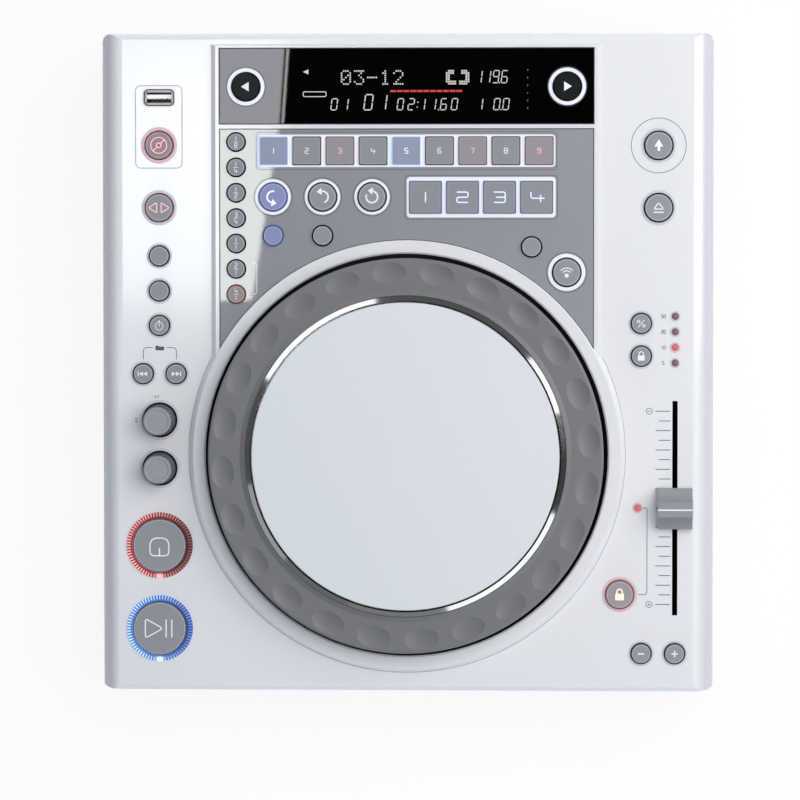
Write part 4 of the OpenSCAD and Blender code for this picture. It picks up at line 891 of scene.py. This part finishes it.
KNOB_RIBS = 40
for name, at in KNOBS.items():
    s = Shape(at)
    for i in range(KNOB_RIBS):
        a = 2 * math.pi * i / KNOB_RIBS
        c, d = math.cos(a), math.sin(a)
        points = [((r + out) * c - side * .22 * d, (r + out) * d + side * .22 * c, z)
                  for r, z in ((7.93, 1.2), (7.28, 13.8)) for side in (-1, 1) for out in (-.1, .22)]
        s.add(points, [(0, 1, 3, 2), (4, 6, 7, 5), (1, 5, 7, 3), (0, 4, 5, 1), (2, 3, 7, 6), (0, 2, 6, 4)])
    s.make(name + "_ribs", SLATE, name + "_body", "knob_grey")
    # Painted shadow: a dark ring in the gap around the knob
    Shape().ring(at, 8.1, 8.99, -2, -.1, 64).make(name + "_gap", GAP_SHADE, "case", "panel_black")
    Shape().lathe(at, [(5.35, 14.58), (5.4, 14.66), (5.9, 14.66), (5.95, 14.58)], 64).make(
        name + "_line", LINE_GREY, name + "_body", "knob_grey")
    # Painted shade greys the knob's bezel
    Shape().lathe(at, [(8.9, SUNK), (8.95, .3), (9.5, .36), (10.2, .2), (10.3, SUNK)], 64).make(
        name + "_bezel", SHADED_BEZEL, "case", "housing_white")

Shape(FADER).prism(rectangle(17.2, .7), 13.9, 14.06).make("fader_cap_line", LINE_WHITE, "fader", "cap_grey")
# Painted shadow: a dark outline along the fader's slot
Shape(FADER).bar(rounded(rectangle(2.42, 108.3), .6), .22, -1.6, .04, closed=True).make(
    "fader_slot_edge", GAP_SHADE, "case", "panel_black")

# The ring's section, without the face that carries the dimples
GRIP_IN, GRIP_OUT, GRIP_TOP = 83.5, 98.5, 16.5
GRIP_WALL = ((GRIP_OUT, GRIP_TOP), (99.2, 16.2), (99.5, 15.5), (99.5, .8), (96.5, .8), (96.5, 14.6), (81.0, 14.6),
             (81.0, 17.9), (GRIP_IN, GRIP_TOP))
DIMPLES, DIMPLE_R, DIMPLE_DEPTH = 24, 92.4, 1.5
DIMPLE_LONG, DIMPLE_SHORT = 8.6, 5.6
FIRST_DIMPLE = 80  # degrees


def grip_ring():
    """The rubber ring as the CAD has it, with oval dimples on a mesh that follows their edges."""
    s = Shape(JOG)
    half, inner, outer = math.radians(180 / DIMPLES) * DIMPLE_R, GRIP_IN - DIMPLE_R, GRIP_OUT - DIMPLE_R
    side, rise = 20, 12  # steps along a field's long and short edges
    corners = [(-half, outer), (half, outer), (half, inner), (-half, inner)]
    edge = []
    for (a, b), (c, d), steps in zip(corners, corners[1:] + corners[:1], (side, rise, side, rise)):
        edge += [(a + (c - a) * i / steps, b + (d - b) * i / steps) for i in range(steps)]
    turns = [math.atan2(v / DIMPLE_SHORT, u / DIMPLE_LONG) for u, v in edge]
    n = len(edge)
    for k in range(DIMPLES):
        middle = math.radians(FIRST_DIMPLE + k * 360 / DIMPLES)

        def spot(along, out, z):
            a = middle - along / DIMPLE_R
            return (DIMPLE_R + out) * math.cos(a), (DIMPLE_R + out) * math.sin(a), z

        rows = [[spot(u, v, GRIP_TOP) for u, v in edge]]
        for share in (1, .93, .84, .72, .6, .48, .36, .24, .12):
            rows.append([spot(share * DIMPLE_LONG * math.cos(t), share * DIMPLE_SHORT * math.sin(t),
                              GRIP_TOP - DIMPLE_DEPTH * (1 - share ** 2)) for t in turns])
        bottom = len(rows) * n
        fan = [(bottom - n + i, bottom - n + (i + 1) % n, bottom) for i in range(n)]
        s.add([p for row in rows for p in row] + [spot(0, 0, GRIP_TOP - DIMPLE_DEPTH)],
              grid(len(rows), n, closed=True) + fan)
        s.add([spot(-half + 2 * half * i / side, r - DIMPLE_R, z) for i in range(side + 1) for r, z in GRIP_WALL],
              grid(side + 1, len(GRIP_WALL)))
    piece = s.make("grip_ring", GRIP, "jog_wheel", "grip_rubber", smooth=16)
    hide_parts("jog_grip_ring")


grip_ring()
# Painted shadow: a grey line where the collar's foot meets the housing
Shape().ring(JOG, 110.35, 110.7, -.05, .03, 200).make("collar_shade_ring", COLLAR_SHADOW, "case", "housing_white")
low, high = edge_over(19.3)  # the wheel's top
# Painted highlight: a white line along the plate's edge; painted shade: a grey groove just outside it
Shape().ring(JOG, 76.35, 76.95, low, high, 160).make("jog_plate_edge_highlight", LINE_WHITE, "jog_wheel", "plate_pale")
Shape().ring(JOG, 76.95, 77.3, low, high - .01, 160).make("jog_plate_shaded_groove", LINE_GREY, "jog_wheel", "plate_pale")
# Painted shadow: a black lining down the wheel's well, so that the gap around the wheel looks dark
Shape().lathe(JOG, [(101.66, 3.4), (101.58, 3.3), (101.5, -7.8), (96, -7.8), (96, -7.9), (101.66, -7.9)], 160,
                 closed=True).make("well_shadow_lining", BLACK, "case", "panel_black")

rim = [(f * u, f * v) for f in (1, -1) for u, v in ((-7.5, -2.3), (-5.8, -4), (5.8, -4), (7.5, -2.3))]
Shape(USB).bar(rim, .5, .6, .84, closed=True).make("usb_rim", BLACK, "case", "panel_black")
s = Shape(USB)
for i in range(4):
    s.prism(rectangle(1.1, .5, (-3.6 + 2.4 * i, -.55)), -9, -1.9)
s.make("usb_contacts", metal("contact_gold", (214, 176, 96), .25), "case", "socket_metal")


# ------ Disc slot and rear sockets ------

UPRIGHT = Matrix.Rotation(math.pi / 2, 4, "X") @ MM
FRONT = Matrix.Translation((0, -DEPTH / 2000, 0)) @ UPRIGHT
REAR = Matrix.Translation((0, .154, 0)) @ Matrix.Rotation(math.pi, 4, "Z") @ UPRIGHT
SLOT = (0, 46)

Shape(SLOT, FRONT).bar(rounded(rectangle(124.4, 5), 2.4, steps=8), .5, -1.8, -.03, closed=True).make(
    "disc_slot_trim", SLATE, "case", "panel_black")
s = Shape(SLOT, FRONT)
for f in (-1, 1):
    s.prism(rectangle(121, 1.7, (0, f * 1.65)), -2.1, -1.3)
s.make("disc_slot_felt", FELT, "case", "panel_black")

heads, crosses, shells = (Shape(frame_of=REAR) for _ in range(3))
for at in ((-89, 37), (89, 37), (-89, 63), (89, 63)):
    heads.lathe(at, [(2.6, -.1), (2.6, .25), (2.2, .75), (1.4, 1.05), (.02, 1.12)], 28)
    # Painted shadow: black crosses on the screw heads stand for their recesses
    for w, h in ((2.6, .42), (.21, 2.6)):
        crosses.prism(rectangle(w, h, at), .9, 1.16)
heads.make("tray_screws", STEEL, "case", "screw_steel")
crosses.make("tray_screw_recess_shadows", BLACK, "case", "panel_black")
for at in ((-20, 50), (-60, 58), (-60, 42)):
    shells.lathe(at, [(4.12, .9), (4.34, .95), (4.34, 8.7), (4.2, 9.02), (3.6, 9.05), (3.55, 8.9)], 40)
    shells.lathe(at, [(5.1, .79), (5.1, .95), (6.2, .95), (6.3, .85), (6.3, -.05)], 6)
shells.make("phono_shells", SHELL, "case", "socket_metal")


# ------ Studio ------

scene.view_settings.view_transform = "Standard"

CAMERA = Vector((.0914, -.0559, 2.2832))
camera = new_object("camera", bpy.data.cameras.new("camera"))
camera.data.sensor_width, camera.data.lens = 36, 196.5
camera.location, camera.rotation_euler = CAMERA, (.0169, .0429, .0022)
bpy.context.scene.camera = camera

# White to the camera, to gloss and through glass, and a plain level of light for all else
scene.world = bpy.data.worlds.new("studio")
studio = Nodes(scene.world)
rays = studio.add("LightPath").outputs
seen = studio.math("MAXIMUM", rays["Is Camera Ray"], rays["Is Glossy Ray"])
seen = studio.math("MAXIMUM", seen, rays["Is Transmission Ray"])
ambient = studio.add("Background", (.85, .94, 1.09, 1), .335)
white = studio.add("Background", (1, 1, 1, 1), 1)
blend = studio.add("MixShader", seen, ambient.outputs[0], white.outputs[0])
studio.add("OutputWorld", blend.outputs[0])


def softbox(name, at, target, size, power, colour):
    """A lamp that neither the camera nor gloss sees."""
    light = bpy.data.lights.new(name, "AREA")
    light.shape, light.size, light.size_y, light.energy, light.color = "RECTANGLE", *size, power, colour
    obj = new_object(name, light)
    obj.location = at
    obj.rotation_euler = (Vector(target) - Vector(at)).to_track_quat("-Z", "Y").to_euler()
    obj.visible_camera = obj.visible_glossy = False


COOL = (.92, .96, 1.06)
softbox("key_light", (.62, .2, 1.1), (0, 0, .08), (1.4, 1.4), 16.2, (1, .985, .97))
softbox("front_fill", (-.7, -2.4, .45), (0, 0, .05), (1.6, .5), 14, COOL)
softbox("rear_fill", (-.4, 2.4, .5), (0, 0, .05), (1.6, .5), 11, COOL)


def card(name, points, strength, colour=(1, 1, 1)):
    """A reflector or flag, four points to a face, that only glossy surfaces see."""
    mesh = bpy.data.meshes.new(name)
    mesh.from_pydata(points, [], [tuple(range(i, i + 4)) for i in range(0, len(points), 4)])
    material = bpy.data.materials.new(name)
    nodes = Nodes(material)
    nodes.add("OutputMaterial", nodes.add("Emission", (*colour, 1), strength).outputs[0])
    mesh.materials.append(material)
    obj = new_object(name, mesh)
    for ray in ("camera", "diffuse", "shadow", "transmission", "volume_scatter"):
        setattr(obj, "visible_" + ray, False)


EYE = PANEL.inverted() @ CAMERA
CARDS_Z = 2700  # over the panel


def mirrored(points):
    """The polygon in the cards' plane whose reflection covers these points of the panel."""
    k = CARDS_Z / EYE.z
    return [PANEL @ Vector((u + (u - EYE.x) * k, v + (v - EYE.y) * k, CARDS_Z)) for u, v in points]


def flat(low_x, high_x, low_y, high_y, z):
    """A level rectangle in the room, in metres."""
    return [(low_x, low_y, z), (high_x, low_y, z), (high_x, high_y, z), (low_x, high_y, z)]


# The pale wedge on the left of the window and the plate, with a bright strip along its edge
for part, outline, strength, colour in (
        ("window", [(-60.3, 175), (-64.2, 121), (-97, 121), (-97, 175)], 8, (.9, .91, 1)),
        ("plate", [(-64.2, 121), (-78.2, 31.6), (-97, 31.2), (-97, 121)], 8, (.94, 1, .9)),
        ("side", [(-97, 175), (-97, 31.2), (-175, 29.6), (-175, 175)], 7.2, (1, 1, 1))):
    card("bright_card_" + part, mirrored(outline), strength, colour)
card("bright_strip", mirrored([(-58.9, 175), (-58.2, 175), (-62.1, 121), (-62.8, 121)]), 15)
card("side_card", flat(.39, 1.7, -.084, .6, .98), 3)
card("overhead_flag", flat(-1.1, 1.1, -1.5, 1.1, 3.1), 0)

# Flags and pale sheets around the set, which the turned rim shows as fans: (from, to, strength), in degrees
FLAGS = ((-26, 12, .05), (12, 36, 1.25), (36, 104, .09), (104, 156, 1.25), (156, 194, .08), (194, 222, .36),
         (222, 248, .15), (248, 282, .21), (282, 334, 1.2))
FLAG_LOW, FLAG_HIGH = .02, 2.9
for k, (start, end, strength) in enumerate(FLAGS):
    foot = arc((0, -.05), 1.75, start, end, max(2, round((end - start) / 6)))
    card(f"flag_{k}", [(*at, z) for p, q in zip(foot, foot[1:]) for at, z in (
        (p, FLAG_LOW), (q, FLAG_LOW), (q, FLAG_HIGH), (p, FLAG_HIGH))], strength)

mesh = bpy.data.meshes.new("floor")
mesh.from_pydata(flat(-6, 6, -6, 6, 0), [], [(0, 1, 2, 3)])
g = Graph("floor_paper", Roughness=.9)
paper = g.noise(900, 3)
g.give(Base_Color=g.mix(paper, (.93, .93, .94, 1), (.97, .97, .98, 1))).bump(paper, .1)
to_camera = g.math("MULTIPLY", g.add("LightPath").outputs["Is Camera Ray"], .9)
glow = g.add("Emission", (1, 1, 1, 1), 1)
pale = g.add("MixShader", to_camera, g.shader.outputs[0], glow.outputs[0])
g.set(g.output.inputs[0], pale.outputs[0])
mesh.materials.append(g.material)
new_object("floor", mesh)
